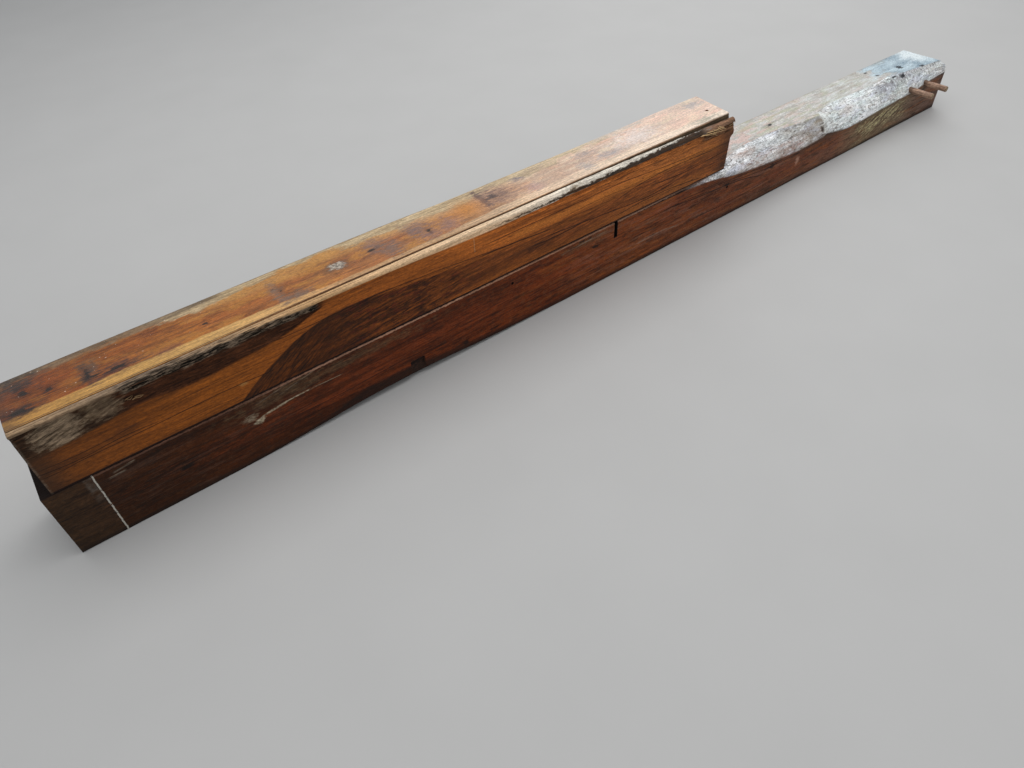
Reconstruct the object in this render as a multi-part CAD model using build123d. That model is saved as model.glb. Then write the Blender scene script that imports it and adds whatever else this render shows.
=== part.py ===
from build123d import *
import math
import os
from typing import NamedTuple

# Decorative beam: two old oiled timbers, a long one below and a short one on it.
# Millimetres. X runs along the beam to its far end, the front face looks towards -Y and Z is up.
# The origin is in the middle of the long timber's underside.

# Long timber
long_length = 3600
long_depth = 190
long_height = 200
far_end_round = 32

# Short timber, flush with the long one's front
short_length = 2158
short_depth = 187
short_height = 185
short_setback = 24
short_end_lean = 8
short_end_skew = 24

# Torn tip of the short timber's bead, which stands out past the sawn end
tip_stand_out = 20
tip_bottom_over_seam = 118
tip_root = 30

# Saw kerf across the long timber's top, and the shallow housing that runs out from it
kerf_from_near_end = 1683
kerf_width = 12
kerf_depth = 56
housing_length = 780
housing_depth = 3

# Wane: the round outside of the log along the long timber's front arris.
# The far lobe starts at the collar, where a layer more of the log is left.
collar_from_kerf = 1092

# Bead along the short timber's front arris, and the shake behind it that opens to the far end
bead_width = 14
shake_width_near = 2.5
shake_width_far = 14
shake_depth_near = 8
shake_depth_far = 30
shake_floor_share = 0.35

# Height left under the short timber's top over the rotted hollows in its front
rot_near_below_top = 9
rot_far_below_top = 24

# Notch in the long timber's lower edge
notch_from_near_end = 931
notch_width = 46
notch_height = 64
notch_depth = 9
notch_corner = 6

# Old nail and bolt holes
nail_hole_diameter = 8
nail_hole_depth = 25

# Pegs, driven into the long timber's front near its far end
peg_diameter = 22
peg_stand_out = 92
peg_embedded = 140
peg_drop = 57
peg_far_from_end = 142
peg_spacing = 106
peg_shank_taper = 1.5
peg_chamfer = 2
peg_hole_clearance = 0.1

# How far a cutting solid reaches past the wood, and how far apart its sections are
past = 40
section_step = 75


class Wane(NamedTuple):
    """The wood missing from an arris at one place along the beam.

    inner_drop is how far the round ends below the top or over the underside.
    """

    along: float
    face_drop: float
    side_run: float
    bulge: float
    inner_drop: float = 0


class Rot(NamedTuple):
    """A rotted hollow in the short timber's front at one place along the beam."""

    along: float
    border_over_seam: float
    depth: float


# Distances along are from the kerf in near_lobe, from the collar in far_lobe
# and from the timber's own near end in the others.
near_lobe = [
    Wane(0, 7, 6, 1),
    Wane(200, 10, 9, 1.5),
    Wane(390, 16, 14, 2.5),
    Wane(470, 26, 26, 4),
    Wane(560, 44, 46, 7),
    Wane(675, 58, 70, 9),
    Wane(820, 71, 71, 9),
    Wane(940, 78, 54, 6),
    Wane(1040, 75, 40, 3),
    Wane(1120, 70, 36, 2),
]
far_lobe = [
    Wane(0, 62, 57, 14),
    Wane(90, 78, 72, 17),
    Wane(170, 87, 76, 17),
    Wane(370, 78, 69, 16),
    Wane(510, 73, 70, 14),
    Wane(600, 70, 52, 12),
    Wane(690, 58, 40, 9),
    Wane(790, 50, 26, 6),
    Wane(870, 48, 22, 5),
]
lower_hollow = [
    Wane(430, 0.5, 0.5, 0.1),
    Wane(615, 11, 11, 1),
    Wane(740, 21, 20, 2),
    Wane(900, 24, 24, 2),
    Wane(1010, 22, 21, 2),
    Wane(1150, 12, 12, 1),
    Wane(1300, 7, 7, 1),
    Wane(1460, 0.5, 0.5, 0.1),
]
bead_wear = [
    Wane(0, 4, 5, 1),
    Wane(900, 7, 8, 2),
    Wane(1600, 15, 12, 3, 1),
    Wane(1900, 19, 14.2, 3, 5),
    Wane(2200, 23, 14.2, 3, 12),
]
back_wane = [
    Wane(930, 0.5, 0.5, 0.1),
    Wane(1180, 9, 9, 1.5),
    Wane(1500, 11, 11, 2),
    Wane(1760, 9, 8, 1.5),
    Wane(2000, 0.5, 0.5, 0.1),
]
near_rot = [
    Rot(0, 104, 8),
    Rot(120, 109, 8),
    Rot(235, 121, 7),
    Rot(350, 113, 7),
    Rot(480, 118, 6),
    Rot(590, 131, 5),
    Rot(660, 152, 3),
    Rot(710, 168, 0.5),
]
far_rot = [
    Rot(1180, 158, 0.5),
    Rot(1450, 152, 4),
    Rot(1800, 147, 5),
    Rot(2050, 138, 7),
    Rot(2200, 132, 8),
]

# Nail and bolt holes in the fronts: distance from the near end and height over the underside
front_holes = [(1273, 160), (2217, 121)]
top_hole_from_far_end = 29
top_hole_from_front = 85

near_x = -long_length / 2
far_x = long_length / 2
front_y = -long_depth / 2
short_back_y = front_y + short_depth
seam_z = long_height
kerf_x = near_x + kerf_from_near_end
collar_x = kerf_x + collar_from_kerf
short_near_x = near_x + short_setback
short_far_x = short_near_x + short_length
short_top_z = seam_z + short_height
peg_z = long_height - peg_drop
peg_far_x = far_x - peg_far_from_end
peg_near_x = peg_far_x - peg_spacing


class Corner(NamedTuple):
    """An arris that runs along the beam.

    face_y is its front or back face and outward that face's direction, and side_z is its top
    or underside and up that one's direction.
    """

    face_y: float
    outward: int
    side_z: float
    up: int


def station_at(stations, along):
    """Values at any distance, on smooth curves through the listed stations."""
    after = next((i for i, station in enumerate(stations) if station.along > along), len(stations))
    if after == 0:
        return stations[0]._replace(along=along)
    if after == len(stations):
        return stations[-1]._replace(along=along)
    first = stations[max(after - 2, 0)]
    start = stations[after - 1]
    end = stations[after]
    last = stations[min(after + 1, len(stations) - 1)]
    span = end.along - start.along
    t = (along - start.along) / span
    values = {"along": along}
    for name in start._fields[1:]:
        v0, v1, v2, v3 = (getattr(station, name) for station in (first, start, end, last))
        slope_in = (v2 - v0) / (end.along - first.along) * span
        slope_out = (v3 - v1) / (last.along - start.along) * span
        held = (2 * t**3 - 3 * t**2 + 1) * v1 + (3 * t**2 - 2 * t**3) * v2
        values[name] = held + (t**3 - 2 * t**2 + t) * slope_in + (t**3 - t**2) * slope_out
    return type(start)(**values)


def evenly(stations, start, end):
    """Stations at most section_step apart from start to end."""
    count = math.ceil((end - start) / section_step)
    return [station_at(stations, start + (end - start) * i / count) for i in range(count + 1)]


def closed_face(first_edge, points):
    """Face bounded by one edge and the straight lines that lead back to its start."""
    return make_face([first_edge] + [Line(start, end) for start, end in zip(points, points[1:])])


def wane_section(station, from_x, corner):
    """Face across the beam that covers the wood missing from an arris."""
    x = from_x + station.along
    inward_y = corner.face_y - corner.outward * station.side_run
    inward_z = corner.side_z - corner.up * station.inner_drop
    below_z = corner.side_z - corner.up * station.face_drop
    outer_y = corner.face_y + corner.outward * past
    outer_z = corner.side_z + corner.up * past
    rise = station.face_drop - station.inner_drop
    chord = math.hypot(rise, station.side_run)
    middle = Vector(
        x,
        (corner.face_y + inward_y) / 2 + corner.outward * station.bulge * rise / chord,
        (inward_z + below_z) / 2 + corner.up * station.bulge * station.side_run / chord,
    )
    on_face = Vector(x, corner.face_y, below_z)
    on_side = Vector(x, inward_y, inward_z)
    outer = [Vector(x, inward_y, outer_z), Vector(x, outer_y, outer_z), Vector(x, outer_y, below_z)]
    return closed_face(ThreePointArc(on_face, middle, on_side), [on_side, *outer, on_face])


def wane_waste(stations, from_x, start, end, corner):
    """Solid to cut away along an arris, from start to end measured from from_x."""
    return loft([wane_section(station, from_x, corner) for station in evenly(stations, start, end)], ruled=True)


def nail_hole(place, direction):
    """Cylinder that starts outside the wood and ends at the hole's bottom."""
    plane = Plane(place, z_dir=direction)
    return extrude(plane * Circle(nail_hole_diameter / 2), nail_hole_depth)


def peg_hole(x):
    """Blind hole for one peg."""
    plane = Plane((x, front_y - past, peg_z), z_dir=(0, 1, 0))
    return extrude(plane * Circle(peg_diameter / 2 + peg_hole_clearance), past + peg_embedded)


def make_peg(x):
    """One peg: a straight free end, and a shank that tapers to the bottom of its hole."""
    radius = peg_diameter / 2
    outer_end = -peg_stand_out
    profile = Polyline(
        (0, outer_end),
        (radius - peg_chamfer, outer_end),
        (radius, outer_end + peg_chamfer),
        (radius, 0),
        (radius - peg_shank_taper, peg_embedded),
        (0, peg_embedded),
        close=True,
    )
    peg = revolve(make_face(profile), Axis.Y)
    return Pos(x, front_y, peg_z) * peg


def make_long_timber():
    """Long timber with its wane, kerf, housing, holes, notch and worn lower edge."""
    blank = Pos(0, 0, long_height / 2) * Box(long_length, long_depth, long_height)
    far_arris = blank.edges().filter_by(Axis.Y).group_by(Axis.Z)[-1].sort_by(Axis.X)[-1]
    timber = fillet(far_arris, far_end_round)
    upper_corner = Corner(front_y, -1, seam_z, 1)
    lower_corner = Corner(front_y, -1, 0, -1)
    timber -= wane_waste(near_lobe, kerf_x, 0, collar_from_kerf, upper_corner)
    timber -= wane_waste(far_lobe, collar_x, 0, far_x - collar_x + past, upper_corner)
    timber -= wane_waste(lower_hollow, near_x, lower_hollow[0].along, lower_hollow[-1].along, lower_corner)
    kerf = Pos(kerf_x, 0, seam_z) * Box(kerf_width, long_depth + past, 2 * kerf_depth)
    timber -= kerf
    run_out = Polyline(
        (kerf_x, seam_z - housing_depth),
        (kerf_x, seam_z + past),
        (kerf_x - housing_length, seam_z + past),
        (kerf_x - housing_length, seam_z),
        close=True,
    )
    timber -= extrude(Plane.XZ * make_face(run_out), long_depth, both=True)
    timber -= make_notch()
    for from_near_end, height in front_holes:
        timber -= nail_hole((near_x + from_near_end, front_y, height), (0, 1, 0))
    for x in (peg_near_x, peg_far_x):
        timber -= peg_hole(x)
    return timber


def make_notch():
    """Pocket in the front of the long timber's lower edge, with rounded upper corners."""
    outline = RectangleRounded(notch_width, 2 * notch_height, notch_corner)
    plane = Plane((near_x + notch_from_near_end, front_y, 0), x_dir=(1, 0, 0), z_dir=(0, -1, 0))
    return extrude(plane * outline, -notch_depth)


def shake_section(x, width, depth):
    """Face across the shake behind the bead."""
    first = front_y + bead_width
    floor = width * shake_floor_share
    corners = [
        (first, short_top_z + past),
        (first + width, short_top_z + past),
        (first + width, short_top_z),
        (first + floor, short_top_z - depth),
        (first, short_top_z - depth),
    ]
    return Plane.YZ.offset(x) * make_face(Polyline(*corners, close=True))


def rot_section(station, below_top):
    """Face across the short timber that covers its rotted front, deepest under the bead."""
    x = short_near_x + station.along
    border_z = seam_z + station.border_over_seam
    top_z = short_top_z - below_top
    corners = [
        (x, front_y - past, border_z),
        (x, front_y, border_z),
        (x, front_y + station.depth, top_z),
        (x, front_y - past, top_z),
    ]
    return make_face(Polyline(*corners, close=True))


def rot_waste(stations, start, end, below_top):
    """Solid to cut away for a rotted hollow in the short timber's front."""
    return loft([rot_section(station, below_top) for station in evenly(stations, start, end)], ruled=True)


def short_outline(y, skew):
    """Face along the beam that the short timber's blank has at one depth."""
    corners = [
        (short_near_x, y, seam_z),
        (short_far_x + skew, y, seam_z),
        (short_far_x + skew + short_end_lean, y, short_top_z),
        (short_near_x, y, short_top_z),
    ]
    return make_face(Polyline(*corners, close=True))


def make_short_timber():
    """Short timber with its skewed far end, bead, torn tip, open shake, wane and rotted hollows."""
    timber = loft([short_outline(front_y, 0), short_outline(short_back_y, short_end_skew)], ruled=True)
    tip_low_z = seam_z + tip_bottom_over_seam
    tip_middle = (
        short_far_x + (tip_stand_out - tip_root) / 2,
        front_y + bead_width / 2,
        (tip_low_z + short_top_z) / 2,
    )
    timber += Pos(*tip_middle) * Box(tip_stand_out + tip_root, bead_width, short_top_z - tip_low_z)
    bead_corner = Corner(front_y, -1, short_top_z, 1)
    back_corner = Corner(short_back_y, 1, short_top_z, 1)
    reach = short_far_x + tip_stand_out - short_near_x + past
    timber -= wane_waste(bead_wear, short_near_x, -past, reach, bead_corner)
    timber -= wane_waste(back_wane, short_near_x, back_wane[0].along, back_wane[-1].along, back_corner)
    timber -= loft([
        shake_section(short_near_x - past, shake_width_near, shake_depth_near),
        shake_section(short_far_x + tip_stand_out + past, shake_width_far, shake_depth_far),
    ])
    timber -= rot_waste(near_rot, -past, near_rot[-1].along, rot_near_below_top)
    timber -= rot_waste(far_rot, far_rot[0].along, reach, rot_far_below_top)
    top_hole = (short_far_x - top_hole_from_far_end, front_y + top_hole_from_front, short_top_z)
    timber -= nail_hole(top_hole, (0, 0, -1))
    return timber


parts = {
    "long_timber": make_long_timber(),
    "short_timber": make_short_timber(),
    "peg_near": make_peg(peg_near_x),
    "peg_far": make_peg(peg_far_x),
}

os.makedirs("parts", exist_ok=True)
for name, shape in parts.items():
    export_step(shape, f"parts/{name}.step")
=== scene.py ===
"""Decorative beam: two old oiled timbers, a short one on a long one, and two pegs."""

import logging
import math
import random
from dataclasses import dataclass, field
from enum import Enum
from functools import cached_property
from typing import Any, Sequence

import bmesh
import bpy
import numpy as np
from mathutils import Matrix, Vector

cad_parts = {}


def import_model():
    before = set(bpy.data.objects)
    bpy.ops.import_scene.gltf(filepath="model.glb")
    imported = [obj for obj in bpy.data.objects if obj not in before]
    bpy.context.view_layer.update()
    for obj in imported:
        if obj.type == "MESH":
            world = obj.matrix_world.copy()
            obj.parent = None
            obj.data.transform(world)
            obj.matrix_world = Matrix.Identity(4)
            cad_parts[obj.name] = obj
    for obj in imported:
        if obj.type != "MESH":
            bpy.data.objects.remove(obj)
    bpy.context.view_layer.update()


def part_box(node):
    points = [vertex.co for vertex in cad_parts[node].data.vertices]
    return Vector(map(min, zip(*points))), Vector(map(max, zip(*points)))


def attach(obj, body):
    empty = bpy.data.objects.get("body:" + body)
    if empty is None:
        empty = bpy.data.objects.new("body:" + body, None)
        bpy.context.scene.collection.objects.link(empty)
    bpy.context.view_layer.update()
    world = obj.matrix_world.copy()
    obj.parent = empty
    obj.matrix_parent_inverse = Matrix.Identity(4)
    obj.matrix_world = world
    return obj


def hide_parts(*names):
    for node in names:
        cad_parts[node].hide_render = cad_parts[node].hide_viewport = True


log = logging.getLogger("beam")

Stations = Sequence[tuple[float, ...]]
Colour = tuple[float, float, float]
Place = tuple[float, float]
Stops = Sequence[tuple[float, Colour]]
Layers = dict["Mask", Any]

MM = 0.001
LONG_LENGTH = 3600.0
FRONT_Y = -95.0
BACK_Y = 95.0
SHORT_BACK_Y = 92.0
SEAM_Z = 200.0
SHORT_TOP_Z = 385.0
KERF = 1683.0
KERF_HALF = 6.0
COLLAR = KERF + 1092.0
SHORT_START = 24.0
SHORT_END = 2182.0
FRONT_HOLES = ((1273.0, 160.0), (2217.0, 121.0))
TOP_HOLE = (2153.0, 85.0)
CURVE_REACH = 400.0
MERGE_DISTANCE = 3e-5
THIN_EDGE = 1e-5
CUT_DISTANCE = 1e-7


class Slot(Enum):
    """Material slots of the record."""

    LONG = "long_timber_wood"
    SHORT = "short_timber_wood"
    PEG = "peg_wood"


class Mask(Enum):
    """Attributes that a timber's skin carries for its finish."""

    WORN = "worn"
    UPPER = "upper"
    CUT = "cut"
    STRIP = "strip"
    STRAW = "straw"


def through(points: Stations, at: np.ndarray) -> np.ndarray:
    """Smooth values at many distances through listed points.

    Args:
        points: Tuples of a distance and the values there.
        at: Distances to read, of any shape.

    Returns:
        The values, with one more axis for the columns after the distance, held beyond the ends.
    """
    table = np.array(points, float)
    place = np.clip(at, table[0, 0], table[-1, 0])
    after = np.clip(np.searchsorted(table[:, 0], place, side="right"), 1, len(table) - 1)
    first, start, end, last = (table[np.clip(after + k, 0, len(table) - 1)] for k in (-2, -1, 0, 1))
    span = (end - start)[..., :1]
    t = (place[..., None] - start[..., :1]) / span
    into = (end - first)[..., 1:] / (end - first)[..., :1] * span
    out = (last - start)[..., 1:] / (last - start)[..., :1] * span
    held = (2 * t**3 - 3 * t**2 + 1) * start[..., 1:] + (3 * t**2 - 2 * t**3) * end[..., 1:]
    return held + (t**3 - 2 * t**2 + t) * into + (t**3 - t**2) * out


def ease(value: np.ndarray, low: float, high: float) -> np.ndarray:
    """Smooth step from 0 at low to 1 at high; low may be the larger one."""
    t = np.clip((value - low) / (high - low), 0, 1)
    return t * t * (3 - 2 * t)


def rumple(places: np.ndarray, size: Sequence[float], seed: int, octaves: int = 1) -> np.ndarray:
    """Repeatable smooth noise.

    Args:
        places: Points in millimetres, in the last axis.
        size: Length of a bump along each axis.
        seed: Number that picks the pattern.
        octaves: Layers, each half as long and half as strong as the one before.

    Returns:
        Values of about -1 to 1.
    """
    total = np.zeros(places.shape[:-1])
    for octave in range(octaves):
        p = places / np.asarray(size, float) * 2**octave + 17.3 * (seed + octave)
        cell = np.floor(p).astype(np.int64)
        t = p - cell
        t = t * t * (3 - 2 * t)
        for corner in np.ndindex(2, 2, 2):
            n = (cell + np.array(corner)) * np.array([73856093, 19349663, 83492791])
            n = n[..., 0] ^ n[..., 1] ^ n[..., 2] ^ (seed * 7919 + octave * 104729)
            n = ((n ^ (n >> 13)) * 1274126177) & 0x7FFFFFFF
            n = (n ^ (n >> 16)) & 0xFFFF
            weight = np.prod(np.where(corner, t, 1 - t), axis=-1)
            total += weight * (n / 32767.5 - 1) / 2**octave
    return total


def steps(count: int, lip: float = 0.0) -> np.ndarray:
    """Shares of a stretch, from 0 up to but not at 1.

    Args:
        count: How many there are.
        lip: Size of the first and last step, or 0 where all steps are equal.

    Returns:
        The shares in order.
    """
    if not lip:
        return np.arange(count) / count
    return np.concatenate([[0.0], np.linspace(lip, 1 - lip, count - 1)])


def stretch(start: float, end: float, step: float) -> np.ndarray:
    """Even distances from a start up to but not at an end, about a step apart."""
    return np.linspace(start, end, max(2, round((end - start) / step)), endpoint=False)


def straight(start: np.ndarray, end: np.ndarray, shares: np.ndarray) -> np.ndarray:
    """Points on the straight line between two columns of section points.

    Args:
        start: One (y, z) for each row.
        end: One (y, z) for each row.
        shares: How far along the line each point lies.

    Returns:
        Points for each row and share.
    """
    return start[:, None] + (end - start)[:, None] * shares[None, :, None]


def rounded(
    start: np.ndarray, end: np.ndarray, bulge: np.ndarray, side: np.ndarray, shares: np.ndarray
) -> np.ndarray:
    """Points on a curve that swells from the chord between two columns of section points.

    Args:
        start: One (y, z) for each row.
        end: One (y, z) for each row.
        bulge: Height of the curve over the middle of its chord, for each row.
        side: Direction of the swelling, one (y, z) for each row.
        shares: How far along the curve each point lies.

    Returns:
        Points for each row and share.
    """
    lift = 4 * shares * (1 - shares)
    return straight(start, end, shares) + (bulge[:, None] * side)[:, None] * lift[None, :, None]


def pair(y: Any, z: Any, rows: int) -> np.ndarray:
    """One (y, z) for each row from two columns or numbers."""
    return np.stack([np.broadcast_to(np.asarray(v, float), (rows,)) for v in (y, z)], -1)


def cornered(
    station: np.ndarray, face_y: float, outward: int, side_z: float, up: int
) -> tuple[np.ndarray, ...]:
    """Ends, bulge and direction of the round that replaces an arris.

    Args:
        station: Face drop, side run, bulge and, if given, how far the round ends from the level face.
        face_y: The vertical face's y.
        outward: Which way that face looks, along y.
        side_z: The level face's z.
        up: Which way that one looks, along z.

    Returns:
        The point on the vertical face, the one on the level face, the bulge and its direction.
    """
    drop, run, bulge = station[:, 0], station[:, 1], station[:, 2]
    inner = station[:, 3] if station.shape[1] > 3 else 0 * drop
    rows = len(station)
    chord = np.hypot(drop - inner, run)
    side = pair(outward * (drop - inner) / chord, up * run / chord, rows)
    on_face = pair(face_y, side_z - up * drop, rows)
    on_side = pair(face_y - outward * run, side_z - up * inner, rows)
    return on_face, on_side, bulge, side


def linked(bm: bmesh.types.BMesh, name: str) -> bpy.types.Object:
    """Ends a bmesh as an object of the scene.

    Args:
        bm: The finished shape, which is freed.
        name: Name of the mesh and of the object.

    Returns:
        The object.
    """
    mesh = bpy.data.meshes.new(name)
    bm.to_mesh(mesh)
    bm.free()
    made = bpy.data.objects.new(name, mesh)
    bpy.context.scene.collection.objects.link(made)
    return made


class Value:
    """A number socket that takes part in Python arithmetic."""

    def __init__(self, bench: "Bench", socket: bpy.types.NodeSocket) -> None:
        """Wraps a socket of the bench's tree."""
        self.bench = bench
        self.socket = socket

    def _math(self, operation: str, *operands: Any) -> "Value":
        """Adds a Math node.

        Args:
            operation: The node's operation.
            operands: Its values or numbers, as many as the operation takes.

        Returns:
            The node's result.
        """
        node = self.bench.node("ShaderNodeMath", {"operation": operation}, dict(enumerate(operands)))
        return Value(self.bench, node.outputs[0])

    def __add__(self, other: Any) -> "Value":
        """Sum."""
        return self._math("ADD", self, other)

    def __radd__(self, other: Any) -> "Value":
        """Sum, reflected."""
        return self._math("ADD", other, self)

    def __sub__(self, other: Any) -> "Value":
        """Difference."""
        return self._math("SUBTRACT", self, other)

    def __rsub__(self, other: Any) -> "Value":
        """Difference, reflected."""
        return self._math("SUBTRACT", other, self)

    def __mul__(self, other: Any) -> "Value":
        """Product."""
        return self._math("MULTIPLY", self, other)

    def __rmul__(self, other: Any) -> "Value":
        """Product, reflected."""
        return self._math("MULTIPLY", other, self)

    def __truediv__(self, other: Any) -> "Value":
        """Quotient."""
        return self._math("DIVIDE", self, other)

    def __pow__(self, other: Any) -> "Value":
        """Power."""
        return self._math("POWER", self, other)

    def __abs__(self) -> "Value":
        """Size without sign."""
        return self._math("ABSOLUTE", self)

    def __or__(self, other: Any) -> "Value":
        """The larger one, which joins two masks."""
        return self._math("MAXIMUM", self, other)

    def angle(self, other: "Value") -> "Value":
        """Angle of the point whose first coordinate this is and whose second is the other, in radians."""
        return self._math("ARCTAN2", other, self)

    def sine(self) -> "Value":
        """Sine of the value in radians."""
        return self._math("SINE", self)

    def plus(self, factor: Any, addend: Any) -> "Value":
        """This value times the factor, plus the addend, in one node."""
        return self._math("MULTIPLY_ADD", self, factor, addend)

    def ease(self, low: float, high: float) -> "Value":
        """Smooth step, which needs no clamp of its own.

        Args:
            low: Where the result is 0; it may be the larger one.
            high: Where the result is 1.

        Returns:
            The step's value from 0 to 1.
        """
        settings = {"interpolation_type": "SMOOTHSTEP", "clamp": False}
        flip = low > high
        sockets = {"Value": self, "From Min": min(low, high), "From Max": max(low, high)}
        sockets["To Min"], sockets["To Max"] = (1.0, 0.0) if flip else (0.0, 1.0)
        return Value(self.bench, self.bench.node("ShaderNodeMapRange", settings, sockets).outputs[0])

    def window(self, low: float, high: float, fade: float) -> "Value":
        """1 between low and high, and 0 from a fade's width outside them."""
        return self.ease(low - fade, low) * self.ease(high + fade, high)


class Tint(Value):
    """A colour socket: its sums and products are Mix nodes, so a chain of colours is never converted."""

    def _math(self, operation: str, *operands: Any) -> "Tint":
        """Adds a Mix node.

        Args:
            operation: How the second is laid over the first.
            operands: Two colours, or a colour and the number or Value that scales it.

        Returns:
            The node's colour.
        """
        numbers = [v for v in operands if not isinstance(v, (Tint, tuple))]
        if numbers:
            colour = next(v for v in operands if v is not numbers[0])
            return self.bench.mix(numbers[0], (0.0, 0.0, 0.0), colour, clamp=False)
        return self.bench.mix(1.0, *operands, operation)


class Bench:
    """One material's node tree and the calls that add to it."""

    def __init__(self, name: str) -> None:
        """Starts a material with its coordinates in millimetres.

        Args:
            name: The material's name.
        """
        self.material = bpy.data.materials.new(name)
        self.material.use_nodes = True
        self.tree = self.material.node_tree
        self.tree.nodes.clear()
        place = Tint(self, self.node("ShaderNodeTexCoord").outputs["Object"])
        scaled = self.node("ShaderNodeVectorMath", {"operation": "SCALE"}, {0: place, "Scale": 1 / MM})
        self.mm = Tint(self, scaled.outputs[0])
        parts = self.node("ShaderNodeSeparateXYZ", {}, {0: self.mm})
        self.s = Value(self, parts.outputs[0]) + LONG_LENGTH / 2
        self.y = Value(self, parts.outputs[1])
        self.d = self.y - FRONT_Y
        self.z = Value(self, parts.outputs[2])
        self.share = self.s / LONG_LENGTH

    @cached_property
    def wander(self) -> Value:
        """Slight wandering of thin lines, in millimetres."""
        return (self.noise((110.0, 60.0, 60.0), 3.0, 0.5, 7.0) - 0.5) * 4

    @cached_property
    def blotch(self) -> Value:
        """Noise that breaks up the edges of blotches."""
        return self.grit((20.0, 9.0, 9.0), 6.0, 0.68, 3.0)

    @cached_property
    def ragged(self) -> Value:
        """The same noise round 0."""
        return self.blotch - 0.5

    @cached_property
    def points(self) -> dict[Value, Tint]:
        """Places on the top and on the front as vectors, each by the value across the beam."""
        return {across: self._point(across) for across in (self.d, self.z)}

    def _point(self, across: Value) -> Tint:
        """A place as a vector: how far along the beam it is, and how far across."""
        return Tint(self, self.node("ShaderNodeCombineXYZ", {}, {0: self.s, 1: across}).outputs[0])

    def node(
        self, kind: str, settings: dict[str, Any] | None = None, sockets: dict[Any, Any] | None = None
    ) -> bpy.types.Node:
        """Adds one node.

        Args:
            kind: The node's type.
            settings: Its settings; stops are a ramp's and curve a float curve's points.
            sockets: Values or links of its input sockets, by name or number.

        Returns:
            The new node.
        """
        made = self.tree.nodes.new(kind)
        for name, value in (settings or {}).items():
            if name == "stops":
                self._set_stops(made.color_ramp, value)
            elif name == "curve":
                self._set_curve(made.mapping, value)
            else:
                setattr(made, name, value)
        for name, value in (sockets or {}).items():
            if isinstance(name, int):
                socket = made.inputs[name]
            else:
                socket = next(i for i in made.inputs if name in (i.identifier, i.name) and i.enabled)
            if isinstance(value, Value):
                self.tree.links.new(value.socket, socket)
            elif isinstance(value, tuple) and len(value) == 3 and len(socket.default_value) == 4:
                socket.default_value = (*value, 1.0)
            else:
                socket.default_value = value
        return made

    @staticmethod
    def _set_stops(ramp: bpy.types.ColorRamp, stops: Stops) -> None:
        """Gives a ramp its stops.

        Args:
            ramp: The ramp.
            stops: Pairs of a position and a colour.
        """
        while len(ramp.elements) < len(stops):
            ramp.elements.new(1.0)
        for element, (position, colour) in zip(ramp.elements, stops):
            element.position = position
            element.color = (*colour, 1.0)

    @staticmethod
    def _set_curve(mapping: bpy.types.CurveMapping, points: Sequence[Place]) -> None:
        """Gives a float curve its points.

        Args:
            mapping: The curve node's mapping.
            points: The points, in order of their first number.
        """
        curve = mapping.curves[0]
        while len(curve.points) < len(points):
            curve.points.new(0.5, 0.5)
        for point, place in zip(curve.points, points):
            point.location = place
        mapping.update()

    def attribute(self, mask: Mask) -> Value:
        """One of the skin's own masks."""
        return Value(self, self.node("ShaderNodeAttribute", {"attribute_name": mask.value}).outputs["Fac"])

    def noise(
        self, size: Sequence[float], detail: float, roughness: float, shift: float = 0.0, turn: float = 0.0
    ) -> Value:
        """Noise whose blotches have a given size.

        Args:
            size: Size in millimetres along the beam and across it, or along each axis.
            detail: The node's detail.
            roughness: The node's roughness.
            shift: Distance to another part of the pattern, in blotches.
            turn: Slope of the blotches on the front face, in degrees up towards the far end.

        Returns:
            Values around 0.5.
        """
        sizes = (*size, size[-1])[:3]
        sockets = {"Vector": self.mm, "Scale": sizes, "Location": tuple(-shift * v for v in sizes)}
        sockets["Rotation"] = (0.0, -math.radians(turn), 0.0)
        placed = Tint(self, self.node("ShaderNodeMapping", {"vector_type": "TEXTURE"}, sockets).outputs[0])
        sockets = {"Vector": placed, "Scale": 1.0, "Detail": detail, "Roughness": roughness}
        return Value(self, self.node("ShaderNodeTexNoise", {}, sockets).outputs[0])

    def grit(self, size: Sequence[float], *pattern: float) -> Value:
        """The same noise, of the same arguments, with its contrast raised: from 0 to 1."""
        return self.noise(size, *pattern).ease(0.32, 0.68)

    def lines(self, size: Sequence[float], count: float, shift: float) -> Value:
        """Thin grain lines, as many as the count, that follow the level curves of a stretched noise."""
        return (self.noise(size, 2.0, 0.45, shift) * (count * math.tau)).sine().ease(0.7, 0.98)

    def mix(self, factor: Any, first: Any, second: Any, blend: str = "MIX", clamp: bool = True) -> Tint:
        """Adds a Mix node.

        Args:
            factor: Share of the second colour.
            first: Colour where the factor is 0.
            second: Colour where it is 1.
            blend: How the second is laid over the first.
            clamp: Whether the factor is held between 0 and 1.

        Returns:
            The mixed colour.
        """
        settings = {"data_type": "RGBA", "blend_type": blend, "clamp_factor": clamp}
        sockets = {"Factor_Float": factor, "A_Color": first, "B_Color": second}
        return Tint(self, self.node("ShaderNodeMix", settings, sockets).outputs[2])

    def along(self, stops: Stops) -> Tint:
        """Colours that change along the beam.

        Args:
            stops: Pairs of a distance from its near end and the colour there.

        Returns:
            The colour.
        """
        near = [(place / LONG_LENGTH, colour) for place, colour in stops]
        return Tint(self, self.node("ShaderNodeValToRGB", {"stops": near}, {0: self.share}).outputs[0])

    def height(self, points: Sequence[Place]) -> Value:
        """Smooth height over the distance along the beam.

        Args:
            points: Places that it passes through, in millimetres.

        Returns:
            The height in millimetres.
        """
        curve = [(s / LONG_LENGTH, z / CURVE_REACH) for s, z in points]
        made = self.node("ShaderNodeFloatCurve", {"curve": curve}, {"Value": self.share})
        return Value(self, made.outputs[0]) * CURVE_REACH

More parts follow.
